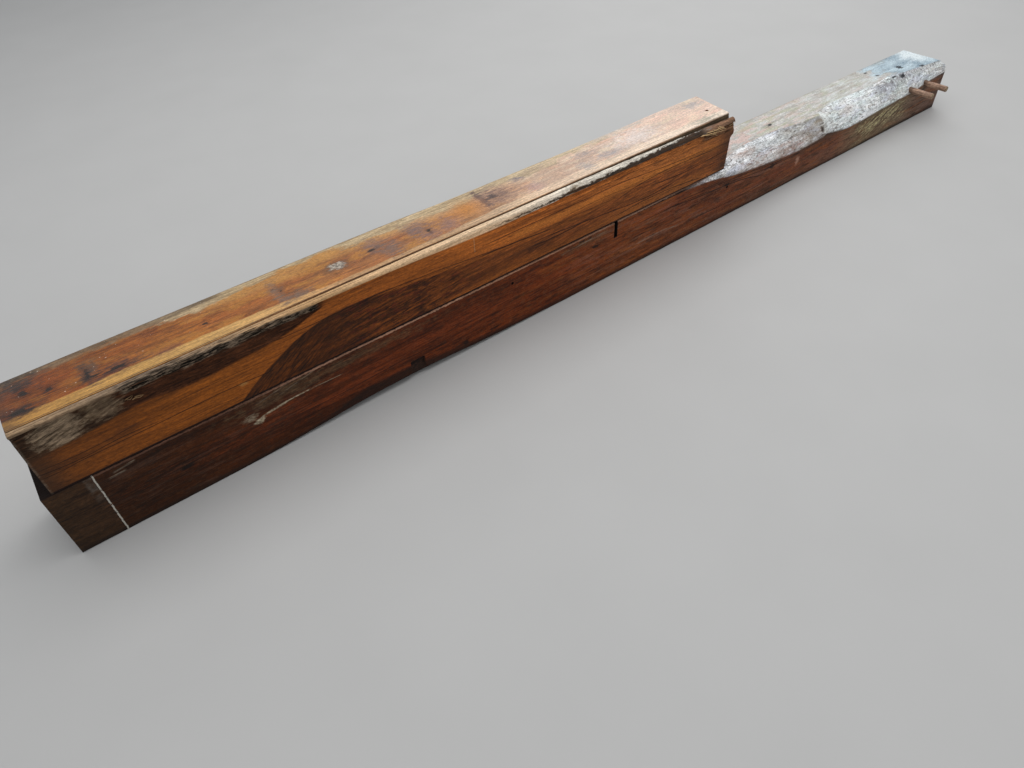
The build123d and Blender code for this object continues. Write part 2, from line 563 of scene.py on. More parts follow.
    def line(self, points: Sequence[Place], width: float, fade: float = 60.0) -> Value:
        """Mask of a thin line along the beam.

        Args:
            points: Its places in millimetres, as distance along and height.
            width: Its half width.
            fade: Length over which its ends die out.

        Returns:
            1 on the line and 0 away from it.
        """
        off = abs(self.z - self.height(points) + self.wander)
        return off.ease(width * 1.8, width * 0.5) * self.s.window(points[0][0], points[-1][0], fade)

    def spot(self, place: Place, radius: Place, across: Value, soft: float = 0.3, warp: float = 0.5) -> Value:
        """Mask of a blotch.

        Args:
            place: Its middle, as distance along and across.
            radius: Its half width along and across.
            across: The other direction's value.
            soft: Share of the radius over which its edge fades.
            warp: How much noise breaks up its edge.

        Returns:
            1 in its middle and 0 outside.
        """
        scale = (1 / radius[0], 1 / radius[1], 0.0)
        back = (-place[0] / radius[0], -place[1] / radius[1], 0.0)
        sockets = {0: self.points[across], 1: scale, 2: back}
        near = Tint(
            self, self.node("ShaderNodeVectorMath", {"operation": "MULTIPLY_ADD"}, sockets).outputs[0]
        )
        far = self.node("ShaderNodeVectorMath", {"operation": "LENGTH"}, {0: near}).outputs["Value"]
        return self.ragged.plus(warp, Value(self, far)).ease(1.0 + soft, 1.0 - soft)

    def finish(
        self, colour: Tint, roughness: Any, relief: Value, depth: float, coat: Any = 0.0
    ) -> bpy.types.Material:
        """Ends the tree with a Principled shader.

        Args:
            colour: Base colour.
            roughness: Roughness, a value or a number.
            relief: Height of the surface from 0 to 1.
            depth: That height in metres.
            coat: Coat weight, a value or a number.

        Returns:
            The material.
        """
        bump = self.node("ShaderNodeBump", {}, {"Strength": 1.0, "Distance": depth, "Height": relief})
        sockets = {"Base Color": colour, "Roughness": roughness, "Normal": Tint(self, bump.outputs[0])}
        sockets.update({"Coat Weight": coat, "Coat Roughness": 0.25, "Specular IOR Level": 0.2})
        shader = self.node("ShaderNodeBsdfPrincipled", {}, sockets)
        output = self.node("ShaderNodeOutputMaterial")
        self.tree.links.new(shader.outputs[0], output.inputs[0])
        return self.material


@dataclass(frozen=True)
class Grain:
    """Growth rings about the log's pith, cut by the timber's faces."""

    pith_y: float = 40.0
    pith_z: float = 90.0
    ring: float = 7.0
    drift: float = 46.0

    def rings(self, bench: Bench) -> tuple[Value, Value]:
        """Adds the ring pattern.

        Args:
            bench: The material being made.

        Returns:
            Ring value from 0 to 1, and a mask of thin dark lines that follow the rings.
        """
        sway = bench.noise((900, 260), 2, 0.5, 11) - 0.5
        lean = bench.noise((420, 70), 3, 0.55, 23) - 0.5
        y = bench.y - self.pith_y + sway * (2 * self.drift)
        z = bench.z - self.pith_z - sway * self.drift
        radius = (y * y + z * z) ** 0.5 + lean * self.drift
        ring = (radius * (math.tau / self.ring)).sine() * 0.5 + 0.5
        dark = (radius * (math.tau / self.ring / 3.7) + lean * 5).sine().ease(0.45, 0.98)
        return ring, dark * bench.noise((260, 16), 3, 0.6, 29).ease(0.42, 0.6)


class WoodBench(Bench):
    """The bench of a timber's finish, with the noises that its layers share."""

    def __init__(self, name: str, grain: Grain, *patterns: tuple[Any, ...]) -> None:
        """Starts the material, its rings and its noises.

        Args:
            name: The material's name.
            grain: The timber's growth rings.
            patterns: What grit is given for the specks and for the fine, middle and broad noise.
        """
        super().__init__(name)
        self.ring, self.band = grain.rings(self)
        self.speckle, self.fine, self.mid, self.broad = (self.grit(*pattern) for pattern in patterns)
        self.pores = self.noise((13, 1.0), 2, 0.5, 41).ease(0.6, 0.72)

    @cached_property
    def fray(self) -> Value:
        """Noise like frayed fibres."""
        return self.grit((44, 3.4), 5, 0.72, 81)


@dataclass(frozen=True)
class EndGrain:
    """Sawn end of a timber: rings, radial checks and grey weathering."""

    pale: Colour = (0.075, 0.05, 0.034)
    dark: Colour = (0.018, 0.012, 0.009)

    def colour(self, b: WoodBench, grain: Grain) -> tuple[Tint, Value]:
        """Adds the end's colour.

        Args:
            b: The timber's bench.
            grain: The timber's growth rings.

        Returns:
            Colour, and a mask of the checks.
        """
        y = b.y - grain.pith_y
        z = b.z - grain.pith_z
        angle = y.angle(z)
        radius = (y * y + z * z) ** 0.5
        wobble = (b.noise((40, 26), 4, 0.6, 5) - 0.5) * 2.4
        arms = (angle * 7 + wobble).sine() | (angle * 12 + wobble * 2 + 1.3).sine() * 0.996
        broken = b.noise((60, 40), 2, 0.5, 9).ease(0.42, 0.52)
        checks = arms.ease(0.986, 0.9995) * radius.ease(6, 22) * broken
        fibre = b.grit((30, 2.4), 3, 0.6, 2)
        cloud = b.grit((60, 50), 4, 0.6, 14)
        base = b.mix(b.ring * 0.45 + fibre * 0.35 + cloud * 0.25, self.dark, self.pale)
        return b.mix(checks, base, (0.004, 0.003, 0.003)), checks


@dataclass(frozen=True)
class ShortWood:
    """Orange oiled timber, stained, rotted along its upper front and weathered at its far end, where the
    top's pale colour is partly painted sheen.
    """

    grain: Grain = Grain(pith_y=70.0, pith_z=210.0, ring=6.0, drift=40.0)
    name: str = "oiled_orange_wood"
    near_black: Colour = (0.012, 0.005, 0.003)

    # what grit is given for the specks and for the fine, middle and broad noise
    patterns = (
        ((8, 4), 3, 0.72, 37),
        ((80, 4), 4, 0.72),
        ((230, 11), 4, 0.64, 31),
        ((700, 42), 3, 0.55, 33),
    )
    # colours at distances from the near end
    front_stops = (
        (30, (0.095, 0.033, 0.009)), (90, (0.165, 0.048, 0.007)), (240, (0.22, 0.062, 0.007)),
        (420, (0.27, 0.076, 0.008)), (900, (0.325, 0.09, 0.013)), (1300, (0.362, 0.104, 0.017)),
        (2080, (0.36, 0.12, 0.028)), (2180, (0.22, 0.08, 0.028)),
    )
    # the top's pale pinkish far end is part weathering and part painted sheen
    top_stops = (
        (30, (0.2, 0.051, 0.005)), (400, (0.31, 0.102, 0.012)), (800, (0.352, 0.138, 0.036)),
        (1200, (0.415, 0.198, 0.075)), (1600, (0.52, 0.34, 0.24)), (2180, (0.7, 0.52, 0.42)),
    )
    strip_stops = (
        (30, (0.35, 0.23, 0.13)), (300, (0.275, 0.198, 0.136)), (700, (0.6, 0.36, 0.17)),
        (1200, (0.82, 0.59, 0.38)), (1500, (0.84, 0.76, 0.64)), (1900, (0.72, 0.67, 0.58)),
        (2180, (0.36, 0.31, 0.26)),
    )
    yellow_stops = (
        (30, (0.46, 0.23, 0.05)), (300, (0.52, 0.29, 0.08)), (540, (0.6, 0.35, 0.12)),
        (760, (0.48, 0.27, 0.12)), (1080, (0.46, 0.28, 0.14)), (1300, (0.66, 0.45, 0.275)),
        (2180, (0.8, 0.66, 0.53)),
    )
    # borders as distance along and height, or depth from the front on the top
    stain_top = (
        (430, 184), (467, 211), (512, 243), (560, 271), (616, 299), (672, 319), (720, 328), (752, 330),
        (900, 321), (1020, 310), (1169, 297), (1260, 287), (1360, 281), (1544, 277), (1700, 280),
        (1800, 296), (2000, 297), (2200, 292),
    )
    stain_bottom = (
        (400, 196), (940, 197), (976, 204), (1100, 214), (1240, 222), (1380, 219), (1520, 222), (1700, 234),
        (2000, 226), (2200, 216),
    )
    shade_low = (
        (1200, 372), (1300, 367), (1480, 365), (1560, 363), (1700, 361), (2040, 360), (2200, 356),
    )
    shade_high = (
        (1200, 372), (1300, 371), (1440, 372), (1500, 376), (1560, 374), (1700, 377), (1850, 378),
        (2040, 380), (2200, 381),
    )
    sap_border = (
        (330, 192), (400, 158), (520, 150), (600, 166), (700, 171), (800, 170), (880, 153), (960, 143),
        (1100, 140), (1200, 138), (1300, 146), (1450, 142), (1600, 146), (1760, 160), (1860, 196),
    )
    yellow_border = (
        (30, 50), (540, 50), (640, 45), (760, 37), (1000, 37), (1180, 45), (1300, 51), (2180, 54),
    )
    # cracks: their places and half width
    cracks = (
        (((130, 252), (260, 253), (430, 255), (524, 252)), 0.9),
        (((520, 330), (640, 326), (760, 327), (880, 325), (1000, 318), (1240, 296)), 0.9),
        (((1200, 297), (1290, 292), (1390, 284)), 1.5),
        (((30, 262), (110, 257), (200, 262), (250, 260)), 0.8), (((30, 250), (60, 249), (96, 251)), 0.7),
        (((50, 272), (120, 270), (210, 276)), 0.6), (((300, 286), (420, 290), (520, 288)), 0.5),
        (((330, 228), (400, 226), (440, 222)), 0.5),
        (((1220, 327), (1500, 328), (1700, 327), (1800, 321), (1920, 313), (2060, 309)), 1.0),
        (((1500, 303), (1580, 306), (1700, 301)), 0.7),
        (((1430, 262), (1600, 250), (1800, 236), (1900, 240)), 1.3),
        (((1700, 280), (1790, 295), (1880, 301), (2080, 296)), 1.1),
        (((1380, 252), (1450, 250), (1540, 254)), 1.4), (((1700, 222), (1850, 228), (2040, 214)), 1.2),
        (((1860, 268), (1960, 262), (2150, 270)), 1.2), (((1540, 344), (1700, 346), (1860, 342)), 0.6),
    )
    # knots and clouds of the top: middle and half widths, and a cloud's colour
    knots = (
        ((60, 60), (20, 7)), ((122, 94), (9, 6)), ((212, 74), (14, 5)), ((200, 92), (4, 14)),
        ((262, 70), (17, 6)), ((78, 118), (7, 9)), ((462, 92), (5, 4)), ((650, 91), (4, 4)),
        ((904, 101), (9, 3)), ((1068, 80), (5, 6)),
    )
    clouds = (
        ((72, 160), (40, 32), (0.038, 0.03, 0.026)), ((60, 62), (34, 12), (0.05, 0.03, 0.02)),
        ((206, 100), (16, 40), (0.09, 0.058, 0.04)), ((262, 72), (34, 16), (0.09, 0.042, 0.034)),
        ((366, 56), (30, 10), (0.17, 0.06, 0.03)), ((640, 92), (14, 46), (0.2, 0.12, 0.08)),
        ((676, 52), (34, 12), (0.17, 0.11, 0.08)), ((920, 112), (30, 30), (0.2, 0.12, 0.095)),
        ((952, 78), (22, 34), (0.18, 0.11, 0.085)), ((1044, 110), (30, 34), (0.19, 0.115, 0.095)),
        ((1064, 64), (26, 20), (0.23, 0.125, 0.1)), ((1122, 76), (30, 26), (0.25, 0.135, 0.105)),
        ((1304, 112), (44, 40), (0.17, 0.096, 0.078)), ((1266, 118), (10, 48), (0.11, 0.062, 0.054)),
        ((1300, 108), (16, 12), (0.065, 0.036, 0.028)), ((1410, 140), (20, 10), (0.2, 0.155, 0.15)),
        ((1424, 74), (26, 20), (0.42, 0.26, 0.23)), ((1648, 128), (30, 12), (0.33, 0.27, 0.24)),
        ((1716, 80), (40, 16), (0.3, 0.265, 0.26)), ((1610, 66), (20, 22), (0.36, 0.3, 0.27)),
        ((1500, 90), (50, 44), (0.44, 0.295, 0.205)), ((1850, 108), (70, 30), (0.74, 0.63, 0.57)),
        ((1850, 174), (120, 12), (0.52, 0.44, 0.37)), ((2150, 146), (30, 16), (0.36, 0.33, 0.32)),
        ((2110, 44), (44, 14), (0.34, 0.31, 0.23)),
    )

    def make(self) -> bpy.types.Material:
        """Builds the material of the short timber.

        Returns:
            The material.
        """
        b = WoodBench(self.name, self.grain, *self.patterns)
        worn, upper, cut, strip = (b.attribute(m) for m in (Mask.WORN, Mask.UPPER, Mask.CUT, Mask.STRIP))
        ragged = b.ragged * 7
        sound = b.s.window(1230, 2030, 40) * (b.z + ragged).ease(366, 360)
        rotten = worn * (1 - sound)
        colour = b.mix(rotten, self._front(b), self._rot(b))
        colour = b.mix(upper, colour, self._top(b))
        colour = b.mix(strip, colour, self._strip(b))
        shade = (b.z - b.height(self.shade_low) + ragged).ease(-2, 2)
        shade = shade * (b.height(self.shade_high) - b.z - ragged).ease(-2, 2)
        shade = shade * b.s.window(1230, 2040, 50) * b.d.ease(16, 13.5)
        colour = b.mix(shade * 0.97, colour, b.mix(b.fray, (0.002, 0.001, 0.001), (0.075, 0.034, 0.014)))
        # painted shade inside the open shake behind the bead
        wall = (1 - upper) * b.d.window(15.5, 40, 1.5) * b.z.ease(352, 358) * b.s.ease(300, 900)
        colour = b.mix(wall, colour, b.mix(b.fine, (0.02, 0.014, 0.008), (0.15, 0.1, 0.055)))
        arris = b.s.window(10, 25.5, 5) * b.blotch * (1 - upper)
        colour = b.mix(arris * 0.6, colour, (0.22, 0.175, 0.13))
        end, checks = EndGrain().colour(b, self.grain)
        colour = b.mix(cut, colour, end)
        colour = colour * (b.speckle * 0.4 + 0.8) * (1 - b.pores * 0.45)
        straw = b.attribute(Mask.STRAW)
        golden = b.mix(b.s.ease(1000, 1900), (0.34, 0.205, 0.1), (0.9, 0.6, 0.3))
        colour = b.mix(straw, colour, golden * (b.fine * 0.5 + 0.5))
        gloss = 0.66 - upper * 0.22 + rotten * 0.26 + strip * 0.14 + (b.fine - 0.5) * 0.16
        relief = b.fine * 0.45 + b.mid * 0.25 - b.pores * 0.5 - checks * 0.9 * cut
        relief = relief + rotten * b.fray * 2.4
        oiled = upper * (1 - strip) * b.s.ease(2300, 900) * 0.35
        return b.finish(colour, gloss, relief, 0.001, oiled)

    def _front(self, b: WoodBench) -> Tint:
        """Front and back faces: orange wood with grain, the wet-looking stain, lens and cracks.

        Args:
            b: The timber's bench.

        Returns:
            The colour.
        """
        flow = b.lines((620, 30), 22, 15)
        hair = b.lines((900, 22), 38, 18)
        high = b.z.ease(282, 312) * b.s.ease(980, 1240)
        base = b.along(self.front_stops) * (b.fine * 0.54 + b.mid * 0.4 + b.broad * 0.28 + 0.38)
        base = base * (1 + high * 0.42)
        flow = flow * (1 - high * 0.5) * (b.s.ease(500, 1100) * 0.28 + 0.24)
        base = b.mix(flow, base, base * (0.36, 0.29, 0.26))
        far = b.s.ease(1080, 1380)
        base = b.mix((b.band * 0.6 | hair * (b.mid * 0.5 + 0.5)) * far, base, base * (0.2, 0.14, 0.12))
        base = b.mix(self._stain(b), base, self._wet(b))
        middle = b.height(((1400, 312), (1700, 309), (2080, 304)))
        lens = b.s.window(1330, 2080, 90) * abs(b.z - middle).ease(16, 6)
        base = b.mix(lens * 0.6 * (1 - hair * 0.8), base, (0.6, 0.2, 0.034))
        dim = b.s.window(1180, 1600, 90) * b.z.ease(262, 240)
        base = base * (1 - dim * 0.26)
        flame = b.grit((240, 13), 4, 0.7, 73, 2).ease(0.5, 1.0) * b.z.ease(246, 226) * b.s.ease(1500, 1700)
        base = b.mix(flame * 0.6, base, (0.42, 0.13, 0.022))
        veins = b.grit((260, 9), 4, 0.7, 75, -2).ease(0.55, 0.95) * b.z.window(236, 300, 14) * far
        base = b.mix(veins * 0.6, base, (0.03, 0.01, 0.005))
        low = b.z.ease(214, 202) * b.s.window(30, 460, 60) * b.mid
        base = b.mix(low * 0.55, base, (0.07, 0.024, 0.008))
        near = b.s.ease(96, 30) * (b.mid * 0.6 + 0.4)
        base = b.mix(near * 0.72, base, (0.045, 0.02, 0.009))
        patch = b.spot((214, 272), (34, 18), b.z, 0.8, 1.0) | b.spot((96, 262), (44, 10), b.z, 0.9, 1.0)
        base = b.mix(patch * 0.5, base, (0.06, 0.02, 0.007))
        for points, width in self.cracks:
            base = b.mix(b.line(points, width) * 0.88, base, self.near_black)
        splash = b.spot((474, 250), (8, 3), b.z, 0.6, 1.2)
        base = b.mix(splash * 0.5, base, (0.45, 0.25, 0.08))
        scratch = abs(b.s - 1154 + b.wander * 0.5).ease(1.8, 0.6) * b.z.window(322, 366, 5)
        base = b.mix(scratch * 0.5, base, (0.5, 0.32, 0.17))
        end = b.s.ease(2110, 2172)
        base = b.mix(end * (b.mid * 0.6 + 0.35), base, (0.055, 0.022, 0.011))
        # painted shade along the seam where the short timber sits on the long one
        seam = b.z.ease(206.5, 204) * b.d.ease(8, 4)
        base = b.mix(seam * 0.96, base, (0.01, 0.002, 0.001))
        behind = b.d.ease(168, 186)
        grey = b.mix(b.mid * 0.6 + b.fine * 0.4, (0.06, 0.033, 0.018), (0.23, 0.125, 0.062))
        return b.mix(behind, base, grey)

    def _stain(self, b: WoodBench) -> Value:
        """Mask of the stain: crisp at its near arc, and lost in streaks towards the far end.

        Args:
            b: The timber's bench.

        Returns:
            The mask.
        """
        edge = (b.mid - 0.5) * (b.s.ease(760, 1020) * 22 + 3) + (b.fine - 0.5) * b.s.ease(900, 1100) * 8
        over = (b.height(self.stain_top) - b.z + edge) / (b.s.ease(980, 1300) * 8 + 2.4)
        under = (b.z - b.height(self.stain_bottom) + edge * 0.8) / (b.s.ease(980, 1300) * 6 + 3)
        late = b.s.ease(980, 1300)
        streaks = 1 - late * 0.62 + late * (b.fine * 0.5 + b.mid * 0.3) * 0.62
        return over.ease(-1, 1) * under.ease(-1, 1) * streaks

    def _wet(self, b: WoodBench) -> Tint:
        """Colour of the stain: slanted fine lines near its arc, then dark red-brown flames.

        Args:
            b: The timber's bench.

        Returns:
            The colour.
        """
        steep = b.grit((52, 5), 3, 0.64, 19, 34)
        gentle = b.grit((64, 6), 4, 0.72, 20, 7)
        beyond = b.s.ease(620, 800)
        slant = steep * (1 - beyond) + gentle * beyond
        light = b.mix(b.s.ease(640, 960), (0.132, 0.034, 0.004), (0.225, 0.06, 0.01))
        wet = b.mix(slant, (0.018, 0.006, 0.002), light)
        wet = wet * (b.mid * 0.5 + b.fine * 0.3 + b.broad * 0.5 + 0.34)
        ruby = b.grit((26, 10), 4, 0.66, 22).ease(0.55, 1.0) * beyond
        wet = b.mix(ruby * 0.6, wet, (0.11, 0.017, 0.008))
        coal = b.grit((24, 7), 4, 0.68, 24).ease(0.55, 1.0) * beyond
        wet = b.mix(coal * 0.7, wet, (0.014, 0.006, 0.004))
        rim = (b.height(self.stain_top) - b.z).ease(34, 0) * b.s.ease(820, 640)
        wet = b.mix(rim * 0.5, wet, (0.024, 0.009, 0.004))
        red = b.mix(slant, (0.04, 0.011, 0.004), (0.39, 0.104, 0.022)) * (b.mid * 0.6 + b.fine * 0.6 + 0.34)
        return b.mix(b.s.ease(1060, 1360), wet, red)

    def _rot(self, b: WoodBench) -> Tint:
        """Rotted hollow: a grey fibrous patch, bark-like black, which is partly painted shade under the
        bead's lip, and a smooth chocolate band.

        Args:
            b: The timber's bench.

        Returns:
            The colour.
        """
        crust = b.grit((34, 5), 4, 0.66, 83)
        blotch = b.grit((60, 16), 4, 0.62, 85)
        chocolate = b.mix(b.fray * 0.65 + blotch * 0.35, (0.007, 0.002, 0.001), (0.145, 0.049, 0.018))
        ridges = b.lines((120, 9), 5, 87) * b.fray
        black = b.mix(crust.ease(0.3, 1.05) | ridges, (0.01, 0.007, 0.004), (0.38, 0.275, 0.19))
        felt = b.grit((40, 5), 4, 0.72, 88, 14)
        grey = b.mix(felt * 0.7 + blotch * 0.3, (0.022, 0.012, 0.006), (0.62, 0.445, 0.285))
        tan = b.mix(felt * 0.7 + blotch * 0.3, (0.04, 0.021, 0.011), (0.37, 0.255, 0.155))
        # black band under the bead's lip: decayed wood, its black partly painted shade
        bark = b.s.window(250, 690, 16) * (b.z + (blotch - 0.5) * 8).ease(356, 364)
        brown = b.mix(b.fray * 0.7 + blotch * 0.3, (0.012, 0.006, 0.003), (0.105, 0.05, 0.024))
        colour = b.mix(b.s.ease(250, 200), chocolate, brown)
        colour = b.mix(bark, colour, black)
        colour = b.mix(b.spot((196, 354), (36, 30), b.z, 0.35, 0.6) * 0.9, colour, tan)
        colour = b.mix(b.spot((102, 344), (48, 40), b.z, 0.3, 0.5) * 0.9, colour, grey)
        torn = b.mix(b.fray, (0.045, 0.019, 0.009), (0.36, 0.18, 0.092))
        return b.mix(b.s.ease(1180, 1260), colour, torn)

    def _top(self, b: WoodBench) -> Tint:
        """Top: orange clouds, knots, a yellow strip in front and cream sapwood at the back.

        Args:
            b: The timber's bench.

        Returns:
            The colour.
        """
        cloud = b.grit((90, 30), 5, 0.66, 91)
        puff = b.grit((150, 46), 4, 0.6, 95)
        lines = b.lines((520, 36), 18, 25)
        base = b.along(self.top_stops) * (cloud * 0.4 + b.fine * 0.54 + b.mid * 0.26 + 0.4)
        early = b.s.ease(1500, 900)
        late = b.s.ease(1150, 1600)
        base = b.mix(lines * (early * 0.3 + 0.14), base, base * (0.55, 0.42, 0.34))
        base = b.mix((1 - puff) * early * 0.6, base, base * (0.72, 0.44, 0.34))
        amber = b.grit((110, 40), 3, 0.55, 93).ease(0.5, 0.9) * early
        base = b.mix(amber * (b.s.ease(100, 700) * 0.4 + 0.18), base, (0.48, 0.205, 0.032))
        # towards the far end: pink blush and pale cream, partly painted sheen
        rosy = b.grit((120, 30), 4, 0.66, 97)
        blush = b.mix(b.s.ease(1500, 2000), (0.64, 0.32, 0.165), (0.8, 0.51, 0.39))
        base = b.mix(late * rosy * 0.75, base, blush)
        base = b.mix(late * (1 - puff) * 0.5, base, (0.5, 0.405, 0.325))
        honey = b.d.ease(105, 150) * b.s.window(520, 1400, 120) * (cloud * 0.4 + 0.4)
        base = b.mix(honey, base, b.mix(b.s.ease(800, 1300), (0.5, 0.255, 0.07), (0.62, 0.42, 0.25)))
        straw = b.grit((80, 20), 4, 0.66, 103).ease(0.5, 1.0) * b.s.ease(1250, 1500)
        base = b.mix(straw * 0.5, base, (0.76, 0.62, 0.43))
        border = b.height(self.sap_border) + (cloud - 0.5) * 26 + (b.fine - 0.5) * 8
        sap = (b.d - border).ease(-5, 9)
        cream = b.mix(b.fine * 0.7 + cloud * 0.3, (0.23, 0.155, 0.07), (0.73, 0.57, 0.35))
        base = b.mix(sap * 0.88, base, cream)
        moss = (b.d + (cloud - 0.5) * 16).ease(156, 172) * b.s.window(60, 470, 110)
        green = b.mix(b.fine * 0.5 + cloud * 0.5, (0.06, 0.042, 0.026), (0.28, 0.19, 0.105))
        base = b.mix(moss * 0.85, base, green)
        yellow = b.along(self.yellow_stops) * (b.mid * 0.34 + b.fine * 0.48 + 0.59)
        strip = (b.d - b.height(self.yellow_border) + (cloud - 0.5) * 5).ease(2.5, -2.5)
        base = b.mix(strip * 0.92, base, yellow)
        base = self._smudges(b, base)
        groove = abs(b.d - 20.5 + b.wander * 0.3).ease(1.9, 0.8) * b.s.window(26, 1300, 200)
        base = b.mix(groove * 0.8, base, (0.07, 0.03, 0.01))
        near = b.s.ease(74, 24) * cloud
        base = b.mix(near * 0.7, base, (0.06, 0.034, 0.022))
        rear = b.d.ease(178, 187) * b.s.ease(1700, 1200)
        return b.mix(rear * 0.5, base, (0.11, 0.07, 0.036))

    def _smudges(self, b: WoodBench, base: Tint) -> Tint:
        """The top with its dark smudges, knots, pale specks and the nail hole.

        Args:
            b: The timber's bench.
            base: The top without them.

        Returns:
            The colour.
        """
        for place, radius, colour in self.clouds:
            base = b.mix(b.spot(place, radius, b.d, 0.9, 1.4) * (1.1 - b.fine * 0.55), base, colour)
        glow = b.spot((1208, 106), (36, 34), b.d, 1.0, 0.5)
        base = b.mix(glow * 0.7, base, (0.52, 0.2, 0.022))
        # painted shade in the drilled nail hole
        hole = b.spot(TOP_HOLE, (5, 5), b.d, 0.2, 0.2)
        base = b.mix(hole * 0.95, base, (0.02, 0.014, 0.01))
        ash = b.mix(b.grit((9, 3.4), 4, 0.66, 6), (0.06, 0.035, 0.026), (0.6, 0.52, 0.42))
        base = b.mix(b.spot((808, 98), (34, 22), b.d, 0.5, 0.8) * 0.75, base, (0.1, 0.048, 0.026))
        base = b.mix(b.spot((808, 98), (22, 14), b.d, 0.4, 0.8), base, ash)
        for place, radius in self.knots:
            around = b.spot(place, (radius[0] * 2, radius[1] * 2.4), b.d, 0.9, 1.2)
            base = b.mix(around * (0.85 - b.fine * 0.5), base, base * (0.42, 0.29, 0.25))
            base = b.mix(b.spot(place, radius, b.d, 0.5, 1.4) * 0.95, base, (0.016, 0.009, 0.006))
        specks = b.noise((6, 4.6), 0.0, 0.5, 12).ease(0.83, 0.85) * b.s.ease(560, 420) * b.d.ease(54, 62)
        return b.mix(specks * 0.8, base, (0.75, 0.62, 0.5))

    def _strip(self, b: WoodBench) -> Tint:
        """Bead along the front arris: golden, then cream, then grey and weathered.

        Args:
            b: The timber's bench.

        Returns:
            The colour.
        """
        base = b.along(self.strip_stops) * (b.fine * 0.46 + b.mid * 0.24 + 0.62)
        crust = b.grit((34, 5), 4, 0.66, 83).ease(0.3, 1.05)
        # black below the bead's arris: decayed crust, partly painted shade
        taper = b.height(((0, 383), (540, 383), (620, 380), (720, 370), (3600, 370)))
        low = (taper - b.z + (b.fray - 0.5) * 5).ease(-1.8, 1.8) * b.s.ease(226, 240)
        base = b.mix(low * 0.95, base, b.mix(crust, (0.012, 0.008, 0.005), (0.3, 0.215, 0.145)))
        start = (b.z + (b.fray - 0.5) * 2).ease(385, 382) * b.s.ease(244, 224)
        base = b.mix(start * 0.8, base, b.mix(b.fray, (0.05, 0.028, 0.014), (0.3, 0.2, 0.12)))
        thread = abs(b.d - 6.5 + b.wander * 0.2).ease(1.2, 0.4) * b.s.window(40, 800, 80)
        thread = thread * b.z.ease(383, 384.5)
        base = b.mix(thread * 0.7, base, (0.08, 0.045, 0.02))
        front = b.z.ease(381, 374) * b.s.window(740, 1300, 60)
        base = b.mix(front * 0.35, base, (0.56, 0.3, 0.13))
        late = b.fray.ease(0.5, 0.95) * b.s.ease(1440, 1620)
        base = b.mix(late * 0.6, base, (0.15, 0.11, 0.08))
        chunk = b.spot((1510, 371), (30, 9), b.z, 0.9, 1.2)
        base = b.mix(chunk * 0.8, base, b.mix(b.fray, (0.03, 0.017, 0.009), (0.36, 0.24, 0.12)))
        # painted shade on the inner wall that drops into the shake
        deep = b.d.ease(13.4, 14.6) * b.z.ease(384.6, 381)
        base = b.mix(deep * 0.92, base, (0.02, 0.012, 0.008))
        tip = (b.s + (b.fray - 0.5) * 60).ease(2030, 2090)
        torn = b.mix(b.fray, (0.045, 0.019, 0.009), (0.36, 0.18, 0.092))
        return b.mix(tip * 0.9 * b.d.ease(16, 13.5), base, torn)


